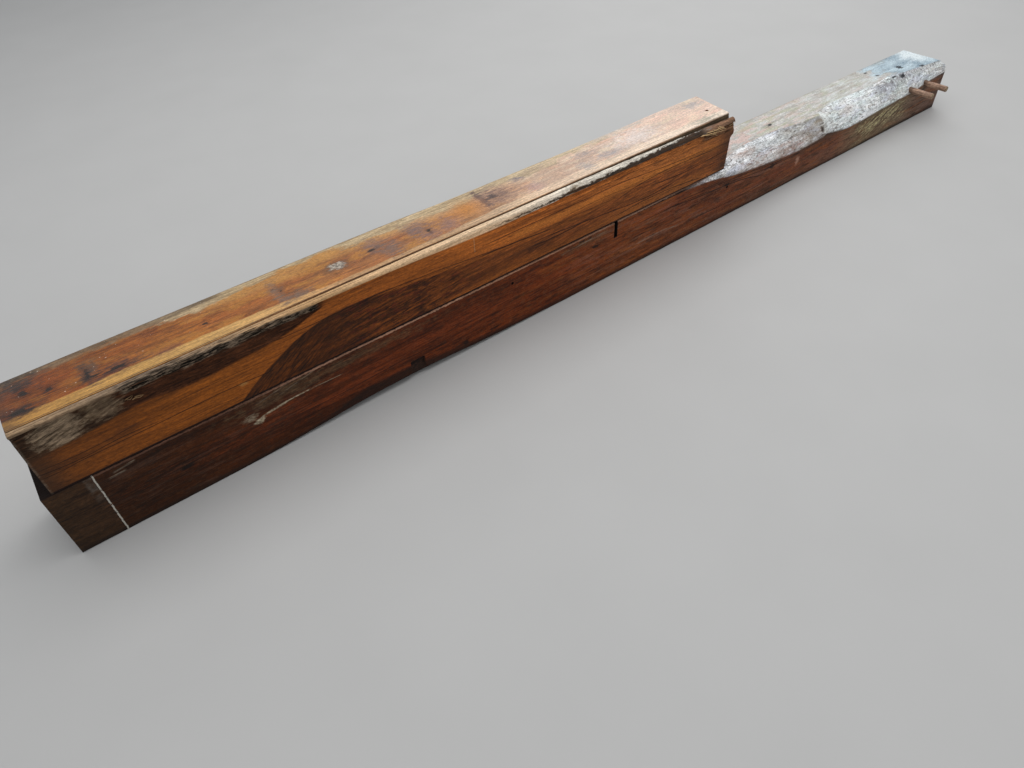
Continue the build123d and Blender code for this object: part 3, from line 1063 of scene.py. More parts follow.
@dataclass(frozen=True)
class LongWood:
    """Dark red-brown timber with a weathered wane and a pale sawn top."""

    grain: Grain = Grain(pith_y=30.0, pith_z=60.0, ring=8.0, drift=52.0)
    name: str = "dark_red_wood"
    # near black of the cracks, and of the painted shade under the notch's top edge
    near_black: Colour = (0.008, 0.004, 0.003)

    # what grit is given for the specks and for the fine, middle and broad noise
    patterns = (
        ((10, 5), 4, 0.72, 37),
        ((70, 4), 4, 0.72),
        ((170, 11), 4, 0.64, 31),
        ((420, 50), 4, 0.6, 33),
    )
    # colours at distances from the near end
    front_stops = (
        (20, (0.041, 0.019, 0.007)), (98, (0.041, 0.018, 0.007)), (112, (0.033, 0.009, 0.001)),
        (500, (0.05, 0.011, 0.001)), (1000, (0.106, 0.02, 0.003)), (1400, (0.142, 0.026, 0.003)),
        (1800, (0.192, 0.048, 0.01)), (2100, (0.134, 0.034, 0.009)), (2450, (0.094, 0.036, 0.016)),
        (2850, (0.154, 0.07, 0.043)), (3100, (0.165, 0.094, 0.048)), (3350, (0.175, 0.108, 0.072)),
        (3590, (0.16, 0.088, 0.064)),
    )
    # painted highlight on the worn arris below the seam
    arris_highlight_stops = (
        (110, (0.11, 0.05, 0.031)), (400, (0.15, 0.07, 0.043)), (650, (0.34, 0.18, 0.115)),
        (1050, (0.44, 0.235, 0.148)), (1450, (0.34, 0.172, 0.103)), (1900, (0.34, 0.192, 0.13)),
        (2185, (0.3, 0.175, 0.124)),
    )
    # border of the painted shade along the bottom of the front, as distance along and height
    foot_shade_line = (
        (0, 0), (450, 0), (600, 6), (700, 28), (800, 42), (900, 38), (1000, 26), (1150, 12), (1500, 3),
        (3600, 4),
    )
    # cracks: their places and half width
    cracks = (
        (((1960, 149), (2100, 136), (2216, 130), (2360, 108)), 1.6),
        (((2010, 158), (2140, 150), (2300, 138), (2480, 122)), 1.1),
        (((1840, 152), (1990, 150), (2120, 139)), 1.0), (((2280, 130), (2420, 116), (2600, 112)), 1.0),
        (((10, 117), (60, 115), (100, 118)), 0.7), (((560, 82), (700, 78), (860, 84), (1010, 80)), 0.9),
        (((2100, 60), (2260, 54), (2420, 62)), 1.0), (((1300, 66), (1480, 60), (1660, 64)), 0.9),
        (((2420, 134), (2560, 128), (2760, 132)), 1.2), (((2960, 122), (3060, 130), (3180, 134)), 1.2),
        (((110, 104), (260, 100), (420, 106)), 0.7),
    )
    # dark marks of the front and of the top: middle and half widths
    marks = (
        ((1096, 34), (12, 8)), ((1198, 34), (18, 6)), ((284, 96), (18, 6)), ((1560, 187), (30, 3)),
        ((1600, 146), (20, 4)), ((2218, 130), (14, 4)), ((2462, 114), (26, 7)),
    )
    top_marks = (
        ((2566, 112), (11, 6)), ((3234, 154), (9, 5)), ((3250, 109), (9, 5)), ((3388, 98), (14, 13)),
        ((3336, 50), (17, 7)), ((3472, 46), (14, 6)), ((3288, 60), (16, 3)),
    )

    def make(self) -> bpy.types.Material:
        """Builds the material of the long timber.

        Returns:
            The material.
        """
        b = WoodBench(self.name, self.grain, *self.patterns)
        worn, upper, cut = (b.attribute(m) for m in (Mask.WORN, Mask.UPPER, Mask.CUT))
        wane, pits = self._wane(b)
        end, checks = EndGrain().colour(b, self.grain)
        colour = b.mix(upper, self._front(b), self._top(b))
        colour = b.mix(worn, colour, wane)
        for place, radius in self.top_marks:
            mark = b.spot(place, radius, b.d, 0.5, 1.0) * b.z.ease(150, 156)
            colour = b.mix(mark * 0.95, colour, (0.018, 0.018, 0.022))
        # painted highlight on the worn arris just below the seam
        lit = (b.z + (b.speckle - 0.5) * 3).window(194.3, 197.8, 1.8) * b.s.window(112, 2185, 14)
        lit = lit * b.d.ease(14, 6)
        colour = b.mix(lit * 0.85, colour, b.along(self.arris_highlight_stops) * (b.fine * 0.6 + 0.7))
        # painted shade on the arris under the short timber, in the seam
        gap = b.z.ease(198.2, 199.4) * b.s.ease(2195, 2170)
        colour = b.mix(gap, colour, (0.01, 0.004, 0.002))
        # painted shade inside the saw kerf
        kerf = abs(b.s - KERF).ease(KERF_HALF + 1.6, KERF_HALF + 0.6) * b.z.window(142, 199, 1)
        # painted shade in the notch, darkest under its top edge
        notch = b.s.window(908, 954, 2) * b.z.ease(66, 62) * b.d.window(1.5, 10, 1.5)
        pocket = b.mix(b.speckle, (0.006, 0.003, 0.002), (0.06, 0.028, 0.018))
        pocket = b.mix((b.z + (b.blotch - 0.5) * 22 - (b.s - 930) * 0.25).ease(46, 54), pocket, self.near_black)
        colour = b.mix(kerf, colour, (0.002, 0.001, 0.001))
        colour = b.mix(notch * 0.95, colour, pocket)
        colour = b.mix(cut, colour, end)
        crisp = b.grit((7, 4), 3, 0.74, 36)
        colour = colour * (crisp * 0.4 + 0.8) * (1 - b.pores * 0.4)
        paint = abs(b.s - 105.5 + (b.noise((30, 30, 7), 3, 0.6, 4) - 0.5) * 4).ease(2.2, 1.2)
        paint = paint * b.noise((7, 7), 3, 0.6, 8).ease(0.3, 0.46) * (1 - cut) * b.d.ease(40, 6)
        colour = b.mix(paint * 0.85, colour, (0.56, 0.53, 0.46))
        gloss = 0.7 + worn * 0.2 + upper * 0.08 + (b.speckle - 0.5) * 0.14
        relief = b.fine * 0.4 + b.mid * 0.25 + b.speckle * 0.25 - b.pores * 0.5
        relief = relief - checks * 0.9 * cut + paint * 0.3
        relief = relief + worn * (b.noise((24, 5), 6, 0.72, 61) * 2.2 - pits * 1.3)
        relief = relief + upper * b.noise((50, 3), 5, 0.65, 67) * 0.8
        return b.finish(colour, gloss, relief, 0.0011)

    def _front(self, b: WoodBench) -> Tint:
        """Front, back and underside: dark red-brown with olive streaks, marks and cracks, with painted shade
        along its bottom and in its nail holes.

        Args:
            b: The timber's bench.

        Returns:
            The colour.
        """
        base = b.along(self.front_stops)
        base = base * (b.fine * 0.64 + b.mid * 0.56 + b.broad * 0.56 + b.speckle * 0.4 - 0.06)
        base = b.mix(b.band * 0.35, base, base * (0.5, 0.42, 0.38))
        ember = b.spot((880, 100), (400, 40), b.z, 0.9, 0.9) | b.spot((2430, 80), (420, 44), b.z, 0.9, 0.9)
        ember = ember | b.spot((1900, 150), (200, 34), b.z, 0.9, 0.9)
        ember = ember | b.spot((1500, 110), (170, 50), b.z, 0.9, 0.9) * 0.6
        base = b.mix(ember * b.mid * (b.fine * 0.5 + 0.5) * 0.8, base, (0.28, 0.052, 0.01))
        orange = b.grit((150, 16), 4, 0.66, 45).ease(0.55, 1.0) * b.s.ease(1100, 1500)
        base = b.mix(orange * 0.55, base, (0.3, 0.086, 0.016))
        base = self._streaks(b, base)
        base = self._mould(b, base)
        for points, width in self.cracks:
            base = b.mix(b.line(points, width, 80) * 0.85, base, self.near_black)
        for place, radius in self.marks:
            base = b.mix(b.spot(place, radius, b.z, 0.6, 1.3) * 0.9, base, (0.008, 0.005, 0.004))
        # painted shade in the drilled nail holes
        for place in FRONT_HOLES:
            base = b.mix(b.spot(place, (5, 5), b.z, 0.2, 0.2) * 0.95, base, (0.006, 0.004, 0.003))
        scuff = b.spot((2621, 82), (10, 12), b.z, 0.8, 1.2)
        base = b.mix(scuff * 0.75, base, (0.5, 0.28, 0.19))
        smear = b.s.window(90, 101, 8) * b.grit((20, 30, 14), 4, 0.65, 53)
        base = b.mix(smear * b.z.ease(90, 180) * 0.5, base, (0.17, 0.145, 0.12))
        # painted shade along the bottom of the front, over the lower hollow
        foot = (b.z - b.height(self.foot_shade_line)).ease(22, 4)
        base = b.mix(foot * 0.8, base, (0.012, 0.007, 0.005))
        tail = b.s.ease(3540, 3596) * b.mid
        base = b.mix(tail * 0.6, base, (0.05, 0.032, 0.022))
        shadow = b.s.window(2716, 2790, 26) * b.z.ease(92, 138)
        base = b.mix(shadow * 0.6, base, (0.045, 0.026, 0.016))
        behind = b.d.ease(170, 188)
        back = b.mix(b.mid * 0.5 + b.speckle * 0.5, (0.05, 0.03, 0.018), (0.19, 0.125, 0.078))
        return b.mix(behind, base, back)

    def _streaks(self, b: WoodBench, base: Tint) -> Tint:
        """The front with its dust, dark grain lines and pinkish grain arcs.

        Args:
            b: The timber's bench.
            base: The front without them.

        Returns:
            The colour.
        """
        dust = b.grit((22, 12), 5, 0.74, 43).ease(0.5, 1.0)
        base = b.mix(dust * (b.s.ease(900, 1500) * 0.16 + 0.08), base, (0.24, 0.115, 0.058))
        hair = b.lines((700, 34), 24, 57) * b.mid
        base = b.mix(hair * (b.s.ease(900, 1400) * 0.35 + 0.35), base, (0.018, 0.007, 0.004))
        near_black = b.grit((70, 16), 5, 0.68, 49).ease(0.42, 0.0)
        base = b.mix(near_black * 0.6, base, (0.014, 0.006, 0.003))
        arcs = b.lines((300, 60), 34, 59) * b.s.window(1960, 2560, 160) * (b.fine * 0.6 + 0.4)
        base = b.mix(arcs * 0.28, base, (0.25, 0.125, 0.085))
        pinks = b.grit((150, 9), 4, 0.7, 60).ease(0.6, 1.0)
        pinks = pinks * (b.s.window(1600, 2500, 200) * 0.18 + b.s.window(160, 560, 80) * 0.07)
        return b.mix(pinks, base, (0.33, 0.21, 0.16))

    def _mould(self, b: WoodBench, base: Tint) -> Tint:
        """The front with its olive veil, pale wisps, splash and the far end's moss.

        Args:
            b: The timber's bench.
            base: The front without them.

        Returns:
            The colour.
        """
        olive = b.mix(b.fine * 0.6 + b.speckle * 0.4, (0.02, 0.01, 0.005), (0.23, 0.15, 0.075))
        veil = b.spot((560, 172), (100, 18), b.z, 0.9, 1.6)
        veil = veil | b.spot((780, 172), (170, 11), b.z, 0.9, 1.6) * 0.8
        veil = veil | b.spot((1580, 176), (80, 12), b.z, 0.9, 1.6) * 0.8
        base = b.mix(veil * 0.55, base, olive)
        wisps = b.line(((150, 181), (190, 186)), 2.2, 8) | b.line(((135, 170), (165, 172)), 2.2, 8)
        wisps = wisps | b.line(((500, 178), (570, 192)), 1.2, 20) | b.line(((560, 174), (640, 192)), 1.2, 24)
        wisps = wisps | b.line(((1800, 76), (1870, 78), (1960, 68)), 2.2, 30)
        wisps = wisps | b.line(((1480, 176), (1620, 182)), 1.6, 30)
        base = b.mix(wisps * b.fine * 0.75, base, (0.26, 0.205, 0.15))
        pale = b.mix(b.speckle, (0.15, 0.108, 0.064), (0.7, 0.6, 0.42))
        base = b.mix(self._splash(b) * 0.85, base, pale)
        far = b.s.ease(2840, 3060) * b.s.ease(3420, 3300)
        slope = b.grit((60, 7), 4, 0.66, 47, 24)
        patch = b.spot((3096, 70), (74, 22), b.z, 0.9, 1.2) | b.spot((3190, 84), (90, 24), b.z, 0.9, 1.2)
        patch = patch | b.spot((3270, 76), (60, 34), b.z, 0.9, 1.2) * 0.7
        grey = b.mix(b.speckle * 0.5 + b.mid * 0.5, (0.06, 0.034, 0.022), (0.27, 0.195, 0.13))
        base = b.mix(far * 0.34, base, grey)
        lichen = b.mix(b.speckle, (0.3, 0.25, 0.11), (0.82, 0.75, 0.43))
        base = b.mix((far * 0.2 | patch) * slope.ease(0.32, 0.8) * 0.95, base, lichen)
        base = b.mix(patch * slope.ease(0.35, 0.05) * 0.6, base, (0.045, 0.028, 0.016))
        under = b.s.window(2820, 3300, 80) * b.z.ease(98, 108) * b.z.ease(136, 124)
        return b.mix(under * b.mid * 0.55, base, (0.04, 0.026, 0.016))

    def _splash(self, b: WoodBench) -> Value:
        """Old pale splash on the front with a streak that runs away from it.

        Args:
            b: The timber's bench.

        Returns:
            Its mask.
        """
        blot = b.spot((460, 142), (15, 12), b.z, 0.5, 1.4) * (b.blotch * 0.7 + 0.1)
        drop = b.spot((476, 122), (13, 7), b.z, 0.4, 0.9)
        streak = b.line(((480, 127), (500, 133), (552, 139)), 2.6, 8) * b.blotch.ease(0.0, 0.5)
        tail = b.line(((540, 138), (582, 141), (625, 142)), 1.5, 10) * b.blotch.ease(0.1, 0.5)
        tail = tail | b.line(((640, 142), (700, 140)), 0.9, 16) * 0.6
        return blot | drop | streak | tail

    def _wane(self, b: WoodBench) -> tuple[Tint, Value]:
        """Weathered outside of the log.

        Args:
            b: The timber's bench.

        Returns:
            Colour, and a mask of small pits.
        """
        coarse = b.grit((110, 34), 5, 0.66, 21)
        rough = b.grit((26, 6), 5, 0.74, 25)
        cross = b.grit((8, 18), 4, 0.7, 26)
        pits = b.noise((14, 5), 4, 0.66, 27).ease(0.58, 0.68)
        lobe_a = b.mix(coarse, (0.62, 0.65, 0.66), (1.0, 1.0, 1.0))
        lobe_b = b.mix(coarse, (0.76, 0.84, 0.83), (1.0, 1.0, 1.0))
        colour = b.mix(b.s.ease(COLLAR - 6, COLLAR + 8), lobe_a, lobe_b)
        colour = colour * (rough * 0.5 + cross * 0.16 + b.fine * 0.4 + b.mid * 0.24 + 0.42)
        pink = b.grit((130, 40), 4, 0.62, 29).ease(0.5, 1.0)
        colour = b.mix(pink * 0.36, colour, (0.58, 0.45, 0.39))
        lilac = b.grit((120, 36), 4, 0.62, 30).ease(0.5, 1.0)
        colour = b.mix(lilac * 0.5, colour, (0.64, 0.68, 0.82))
        straw = b.grit((140, 30), 4, 0.64, 38).ease(0.45, 1.0)
        colour = b.mix(straw * 0.28 * (rough * 0.6 + 0.4), colour, (0.5, 0.45, 0.32))
        tan = b.s.window(2600, 2765, 60) * b.grit((60, 18), 5, 0.66, 33)
        colour = b.mix(tan * 0.6, colour, (0.3, 0.225, 0.13))
        dots = b.grit((10, 5), 4, 0.72, 50).ease(0.62, 0.95)
        colour = b.mix(dots * 0.32, colour, (0.19, 0.165, 0.15))
        nicks = b.grit((7, 30), 3, 0.62, 52).ease(0.6, 0.95)
        colour = b.mix(nicks * 0.3, colour, (0.2, 0.17, 0.155))
        seams = b.lines((260, 44), 15, 46) * b.grit((60, 20), 3, 0.6, 48).ease(0.35, 0.75)
        colour = b.mix(seams * 0.62, colour, (0.15, 0.115, 0.09))
        rim = b.s.window(COLLAR + 2, COLLAR + 26, 6)
        colour = b.mix(rim * 0.7, colour, (0.9, 0.94, 0.92))
        # painted shade in the hollow before the collar
        hollow = b.s.window(COLLAR - 80, COLLAR - 4, 30) * (b.d + (rough - 0.5) * 20).ease(60, 20)
        colour = b.mix(hollow * rough * 0.6, colour, (0.21, 0.145, 0.08))
        # painted shade of the small hole at the collar
        groove = b.spot((2766, 154), (7, 8), b.z, 0.6, 0.8)
        colour = b.mix(groove * 0.9, colour, (0.03, 0.018, 0.012))
        tail = b.s.ease(3240, 3560)
        colour = b.mix(tail * coarse * 0.15, colour, (0.29, 0.245, 0.215))
        crest = b.s.window(3180, 3560, 80) * (b.d + (rough - 0.5) * 20).window(30, 60, 10) * cross
        colour = b.mix(crest * 0.75, colour, (0.11, 0.095, 0.1))
        edge = b.d.ease(8, 0) * b.grit((30, 8), 4, 0.66, 34) * b.s.ease(3000, 2800)
        colour = b.mix(edge * 0.7, colour, (0.12, 0.075, 0.05))
        rust = b.spot((2500, 12), (150, 14), b.d, 0.9, 1.5) | b.spot((2330, 42), (60, 10), b.d, 0.9, 1.5)
        colour = b.mix(rust * b.mid * 0.75, colour, (0.33, 0.165, 0.105))
        return b.mix(pits * 0.85, colour, (0.075, 0.058, 0.046)), pits

    def _top(self, b: WoodBench) -> Tint:
        """Flat sawn top: pinkish cream with fine lines, a bluish patch and dark marks, and painted shade
        where the short timber lies on it.

        Args:
            b: The timber's bench.

        Returns:
            The colour.
        """
        lines = b.grit((220, 4), 4, 0.7, 35)
        cloud = b.grit((90, 34), 5, 0.66, 58)
        base = b.mix(b.mid * 0.4 + cloud * 0.6, (0.4, 0.372, 0.328), (0.7, 0.692, 0.672))
        base = base * (lines * 0.3 + b.speckle * 0.34 + b.fine * 0.22 + 0.57)
        pink = b.grit((80, 26), 5, 0.66, 39).ease(0.4, 0.9)
        base = b.mix(pink * (b.s.ease(2700, 2450) * 0.35 + 0.35), base, (0.68, 0.47, 0.41))
        moss = b.grit((70, 22), 5, 0.66, 44).ease(0.4, 0.9) * b.s.window(2500, 3100, 150)
        base = b.mix(moss * 0.55, base, (0.43, 0.44, 0.28))
        dark = b.lines((360, 40), 16, 62) * lines
        base = b.mix(dark * 0.4, base, (0.23, 0.185, 0.15))
        chill = b.s.window(2900, 3300, 120) * (cloud * 0.4 + 0.1)
        base = b.mix(chill, base, (0.66, 0.72, 0.72))
        tan = b.grit((60, 9), 4, 0.7, 68).ease(0.5, 1.0) * b.s.window(2900, 3300, 120)
        base = b.mix(tan * 0.5, base, (0.33, 0.25, 0.2))
        bloom = (b.s + (cloud - 0.5) * 110 + (b.d - 120) * 0.3).ease(3220, 3300)
        frost = b.mix(cloud * 0.55 + b.speckle * 0.45, (0.13, 0.22, 0.3), (0.64, 0.78, 0.84))
        base = b.mix(bloom * 0.85, base, frost)
        bright = (b.s + (cloud - 0.5) * 60).ease(3460, 3550) * b.d.ease(40, 110)
        base = b.mix(bright * 0.8, base, b.mix(b.speckle, (0.64, 0.72, 0.74), (0.92, 0.96, 0.96)))
        smudge = b.spot((2566, 112), (26, 14), b.d, 0.9, 1.4) | b.spot((3360, 180), (44, 12), b.d, 0.9, 1.4)
        smudge = smudge * (1 - b.fine * 0.6)
        base = b.mix(smudge * 0.6, base, (0.23, 0.22, 0.18))
        side = b.d.ease(182, 188) * b.mid
        base = b.mix(side * 0.5, base, (0.26, 0.21, 0.16))
        # painted shade under the short timber and on the bit of top before it
        return b.mix(b.s.ease(2195, 2170), base, (0.02, 0.01, 0.006))


@dataclass(frozen=True)
class PegWood:
    """Weathered round peg, paler along its grain and at its end."""

    name: str = "peg_weathered_wood"
    far_end_y: float = -185.0

    def make(self) -> bpy.types.Material:
        """Builds the material of the pegs.

        Returns:
            The material.
        """
        b = Bench(self.name)
        fibre = b.grit((3.4, 60, 3.4), 4, 0.7, 5)
        cloud = b.grit((14, 34, 14), 4, 0.6, 9)
        bands = b.grit((60, 5, 60), 4, 0.66, 13)
        colour = b.mix(fibre * 0.65 + cloud * 0.35, (0.09, 0.044, 0.028), (0.6, 0.39, 0.275))
        colour = colour * (bands * 0.36 + 0.8)
        end = b.y.ease(self.far_end_y + 2.5, self.far_end_y)
        rings = b.grit((3, 20, 3), 4, 0.6, 21)
        colour = b.mix(end, colour, b.mix(rings, (0.12, 0.075, 0.042), (0.44, 0.32, 0.21)))
        root = b.y.ease(-116, -96)
        colour = b.mix(root * 0.65, colour, (0.04, 0.022, 0.014))
        return b.finish(colour, 0.62 + (fibre - 0.5) * 0.2, fibre * 0.6 + bands * 0.3, 0.0008)


@dataclass
class Timber:
    """One squared timber as a dense skin wrapped round its sections."""

    name: str
    node: str
    slot: Slot
    end_cell: float = 8.0
    masks: dict[Mask, np.ndarray] = field(default_factory=dict)

    def rows(self) -> np.ndarray:
        """Distances along the beam at which the skin has a section."""
        raise NotImplementedError

    def outline(self, s: np.ndarray) -> np.ndarray:
        """Section points in millimetres for each distance, from the back of the underside round the front."""
        raise NotImplementedError

    def shift(self, s: np.ndarray, points: np.ndarray) -> np.ndarray:
        """How far each section point moves along the beam."""
        return np.zeros(points.shape[:2])

    def relief(self, points: np.ndarray) -> np.ndarray:
        """How far each point of the skin stands out from its section."""
        return np.zeros(points.shape[:2])

    def end_relief(self, place: Vector) -> float:
        """How far a point of a sawn end stands out."""
        spot = np.array([[place.x, place.y, place.z]]) / MM
        return float(rumple(spot, (60, 26, 26), 5, 2)[0] * 1.2 + rumple(spot, (30, 9, 4), 6)[0] * 0.5)

    def end_place(self, place: Vector, side: int) -> float:
        """X of a point of a sawn end, in metres; side is -1 at the near end and 1 at the far one."""
        return place.x + side * self.end_relief(place) * MM

    def skin(self) -> np.ndarray:
        """Points of the whole skin, in the part's frame in millimetres.

        Returns:
            Points for each row and place round the section.
        """
        s = self.rows()
        section = self.outline(s)
        along = s[:, None] + self.shift(s, section) - LONG_LENGTH / 2
        points = np.concatenate([along[..., None], section], -1)
        out = self.relief(points)
        ring = np.concatenate([points[:, -1:], points, points[:, :1]], 1)
        around = ring[:, 2:] - ring[:, :-2]
        forward = np.gradient(points, axis=0)
        normal = np.cross(forward, around)
        length = np.linalg.norm(normal, axis=-1, keepdims=True)
        normal = normal / np.maximum(length, 1e-9)
        return points + normal * out[..., None]

    def build(self) -> bpy.types.Object:
        """Makes the skin's mesh, closes its ends and links its object.

        Returns:
            The object, without a material.
        """
        points = self.skin()
        rows, around = points.shape[:2]
        bm = bmesh.new()
        bmesh.ops.create_grid(bm, x_segments=rows - 1, y_segments=around, size=1)
        layers = {mask: bm.verts.layers.float.new(mask.value) for mask in Mask}
        for vert in bm.verts:
            i = round((vert.co.x + 1) / 2 * (rows - 1))
            j = round((vert.co.y + 1) / 2 * around) % around
            vert.co = points[i, j] * MM
            for mask, values in self.masks.items():
                vert[layers[mask]] = values[i, j]
        bmesh.ops.remove_doubles(bm, verts=bm.verts, dist=MERGE_DISTANCE)
        self.close_ends(bm, layers)
        bmesh.ops.dissolve_degenerate(bm, edges=bm.edges, dist=THIN_EDGE)
        self.extras(bm, layers)
        bmesh.ops.recalc_face_normals(bm, faces=bm.faces)
        for face in bm.faces:
            face.smooth = True
        return linked(bm, self.name)

    def extras(self, bm: bmesh.types.BMesh, layers: Layers) -> None:
        """Adds what stands proud of the skin.

        Args:
            bm: The skin.
            layers: Its mask layers.
        """

    def close_ends(self, bm: bmesh.types.BMesh, layers: Layers) -> None:
        """Fills both ends and divides them into small cells with their own relief.

        Args:
            bm: The skin.
            layers: Its mask layers.
        """
        border = [edge for edge in bm.edges if edge.is_boundary]
        filled = bmesh.ops.holes_fill(bm, edges=border, sides=0)["faces"]
        for cap in filled:
            rim = {vert.index for vert in cap.verts}
            faces = [cap]
            low = Vector([min(vert.co[k] for vert in cap.verts) for k in range(3)])
            high = Vector([max(vert.co[k] for vert in cap.verts) for k in range(3)])
            for axis in (1, 2):
                cell = self.end_cell * MM
                normal = Vector((0, 0, 0))
                normal[axis] = 1
                for k in range(1, math.ceil((high[axis] - low[axis]) / cell)):
                    place = Vector(low)
                    place[axis] = low[axis] + k * cell
                    around = {*faces}
                    around.update(edge for face in faces for edge in face.edges)
                    around.update(vert for face in faces for vert in face.verts)
                    cut = bmesh.ops.bisect_plane(
                        bm, geom=list(around), dist=CUT_DISTANCE, plane_co=place, plane_no=normal
                    )
                    faces = [item for item in cut["geom"] if isinstance(item, bmesh.types.BMFace)]
            points = {vert for face in faces for vert in face.verts if vert.index not in rim}
            side = 1 if high.x > 0 else -1
            for vert in [point for point in points if not self.on_rim(point, faces)]:
                vert.co.x = self.end_place(vert.co, side)
                vert[layers[Mask.CUT]] = 1.0

    @staticmethod
    def on_rim(vert: bmesh.types.BMVert, faces: Sequence[bmesh.types.BMFace]) -> bool:
        """Whether a point of an end lies on its border."""
        known = set(faces)
        return any(face not in known for face in vert.link_faces)


@dataclass
class LongTimber(Timber):
    """Long lower timber, with its wane, collar, kerf, worn lower edge and notch."""

    near_lobe: Stations = (
        (0, 7, 6, 1), (200, 10, 9, 1.5), (390, 16, 14, 2.5), (470, 26, 26, 4), (560, 44, 46, 7),
        (675, 58, 70, 9), (820, 71, 71, 9), (940, 78, 54, 6), (1040, 75, 40, 3), (1120, 70, 36, 2),
    )
    far_lobe: Stations = (
        (0, 62, 57, 14), (90, 78, 72, 17), (170, 87, 76, 17), (370, 78, 69, 16), (510, 73, 70, 14),
        (600, 70, 52, 12), (690, 58, 40, 9), (790, 50, 26, 6), (870, 48, 22, 5),
    )
    lower_hollow: Stations = (
        (0, 2, 2, 0.5), (430, 2, 2, 0.5), (615, 11, 11, 1), (740, 21, 20, 2), (900, 24, 24, 2),
        (1010, 22, 21, 2), (1150, 12, 12, 1), (1300, 7, 7, 1), (1460, 2, 2, 0.5),
    )
    worn_arris: Stations = ((0, 3, 3, 0.7), (1400, 4, 4, 0.9), (1660, 5, 5, 1))
    kerf_depth: float = 56.0
    housing_length: float = 780.0
    housing_depth: float = 3.0
    far_end_round: float = 32.0
    notch_place: float = 931.0
    notch_width: float = 46.0
    notch_height: float = 64.0
    notch_depth: float = 9.0
    notch_corner: float = 6.0

    def rows(self) -> np.ndarray:
        """Distances with a section: close together at the ends, notch, kerf and wane.

        Returns:
            The distances from the near end, in order.
        """
        stretches = (
            (0, 20, 4), (20, 903, 7), (903, 912, 1.5), (912, 950, 4), (950, 959, 1.5), (959, KERF - 6.3, 7),
            (KERF + 6.3, 2000, 7), (2000, 3560, 4.9), (3560, 3594, 3.4), (3594, 3600.1, 1.5),
        )
        found = [stretch(*each) for each in stretches]
        kerf = [KERF + side * (KERF_HALF + gap) for side in (-1, 1) for gap in (0.15, 0.0)] + [KERF]
        return np.unique(np.concatenate([*found, kerf, [LONG_LENGTH]]))

    def outline(self, s: np.ndarray) -> np.ndarray:
        """Section points: underside, lower hollow, front, wane, top and back.

        Args:
            s: Distance of each row.

        Returns:
            The points.
        """
        rows = len(s)
        low = through(self.lower_hollow, s)
        foot, toe, low_bulge, low_side = cornered(low, FRONT_Y, -1, 0.0, -1)
        near = through(self.near_lobe, s - KERF)
        worn = through(self.worn_arris, s)
        near = np.where((s < KERF)[:, None], worn, near)
        far = through(self.far_lobe, s - COLLAR)
        shares = steps(27)
        upper = []
        for station in (near, far):
            face, side, bulge, out = cornered(station, FRONT_Y, -1, SEAM_Z, 1)
            upper.append((face, side, rounded(face, side, bulge, out, shares)))
        jag = rumple(np.stack([0 * shares, 400 * shares, 0 * shares], -1), (9, 60, 9), 3, 2) * 9
        turn = ease(s[:, None] - COLLAR + jag - 8 * shares, -9, 7)[..., None]
        wane = upper[0][2] * (1 - turn) + upper[1][2] * turn
        swap = ease(s - COLLAR, -8, 8)[:, None]
        on_face = upper[0][0] * (1 - swap) + upper[1][0] * swap
        on_side = upper[0][1] * (1 - swap) + upper[1][1] * swap
        wane[:, 0] = on_face
        parts = [
            straight(pair(BACK_Y, 0.0, rows), toe, steps(13, 0.013)),
            rounded(toe, foot, low_bulge, low_side, steps(5)),
            straight(foot, on_face, steps(37, 0.014)),
            wane,
            straight(on_side, pair(BACK_Y, SEAM_Z, rows), steps(33, 0.014)),
            straight(pair(BACK_Y, SEAM_Z, rows), pair(BACK_Y, 0.0, rows), steps(19, 0.013)),
        ]
        self.counts = [part.shape[1] for part in parts]
        section = np.concatenate(parts, 1)
        self.mark(s, section)
        limit = self.ceiling(s)
        section[..., 1] = np.minimum(section[..., 1], limit[:, None])
        return self.press_notch(s, section)

    def mark(self, s: np.ndarray, section: np.ndarray) -> None:
        """Sets the masks of the worn and upper faces.

        Args:
            s: Distance of each row.
            section: Its section points.
        """
        around = section.shape[1]
        first = sum(self.counts[:3])
        worn = np.zeros((len(s), around))
        strength = ease(s, 1980, 2150)
        worn[:, first + 1 : first + self.counts[3] + 1] = strength[:, None]
        worn[:, first] = strength * 0.35
        upper = np.zeros((len(s), around))
        upper[:, first + self.counts[3] : first + sum(self.counts[3:5]) + 1] = 1.0
        upper[:, first + 2 : first + self.counts[3]] = (1 - strength)[:, None]
        self.masks = {Mask.WORN: worn, Mask.UPPER: upper}

    def ceiling(self, s: np.ndarray) -> np.ndarray:
        """Highest z of each row, under the kerf, the housing and the rounded far end.

        Args:
            s: Distance of each row.

        Returns:
            The heights.
        """
        housing = self.housing_depth * np.clip((s - (KERF - self.housing_length)) / self.housing_length, 0, 1)
        top = np.where(s < KERF, SEAM_Z - housing, SEAM_Z)
        top = np.where(abs(s - KERF) <= KERF_HALF + 0.01, SEAM_Z - self.kerf_depth, top)
        into = np.clip(s - (LONG_LENGTH - self.far_end_round), 0, self.far_end_round)
        return top - self.far_end_round + np.sqrt(self.far_end_round**2 - into**2)

    def press_notch(self, s: np.ndarray, section: np.ndarray) -> np.ndarray:
        """Presses the notch into the lower front edge.

        Args:
            s: Distance of each row.
            section: Its section points.

        Returns:
            The section points with the notch.
        """
        z = section[..., 1]
        ragged = rumple(np.stack([s[:, None] + 0 * z, 0 * z, z], -1), (11, 9, 11), 8, 2) * 0.8
        side = abs(s[:, None] - self.notch_place) - self.notch_width / 2 + self.notch_corner
        rise = z - self.notch_height + self.notch_corner
        off = np.hypot(np.maximum(side, 0), np.maximum(rise, 0)) + np.minimum(np.maximum(side, rise), 0)
        press = ease(off - self.notch_corner + ragged, 0.8, -1.4) * self.notch_depth
        section[..., 0] = np.maximum(section[..., 0], FRONT_Y + press)
        return section

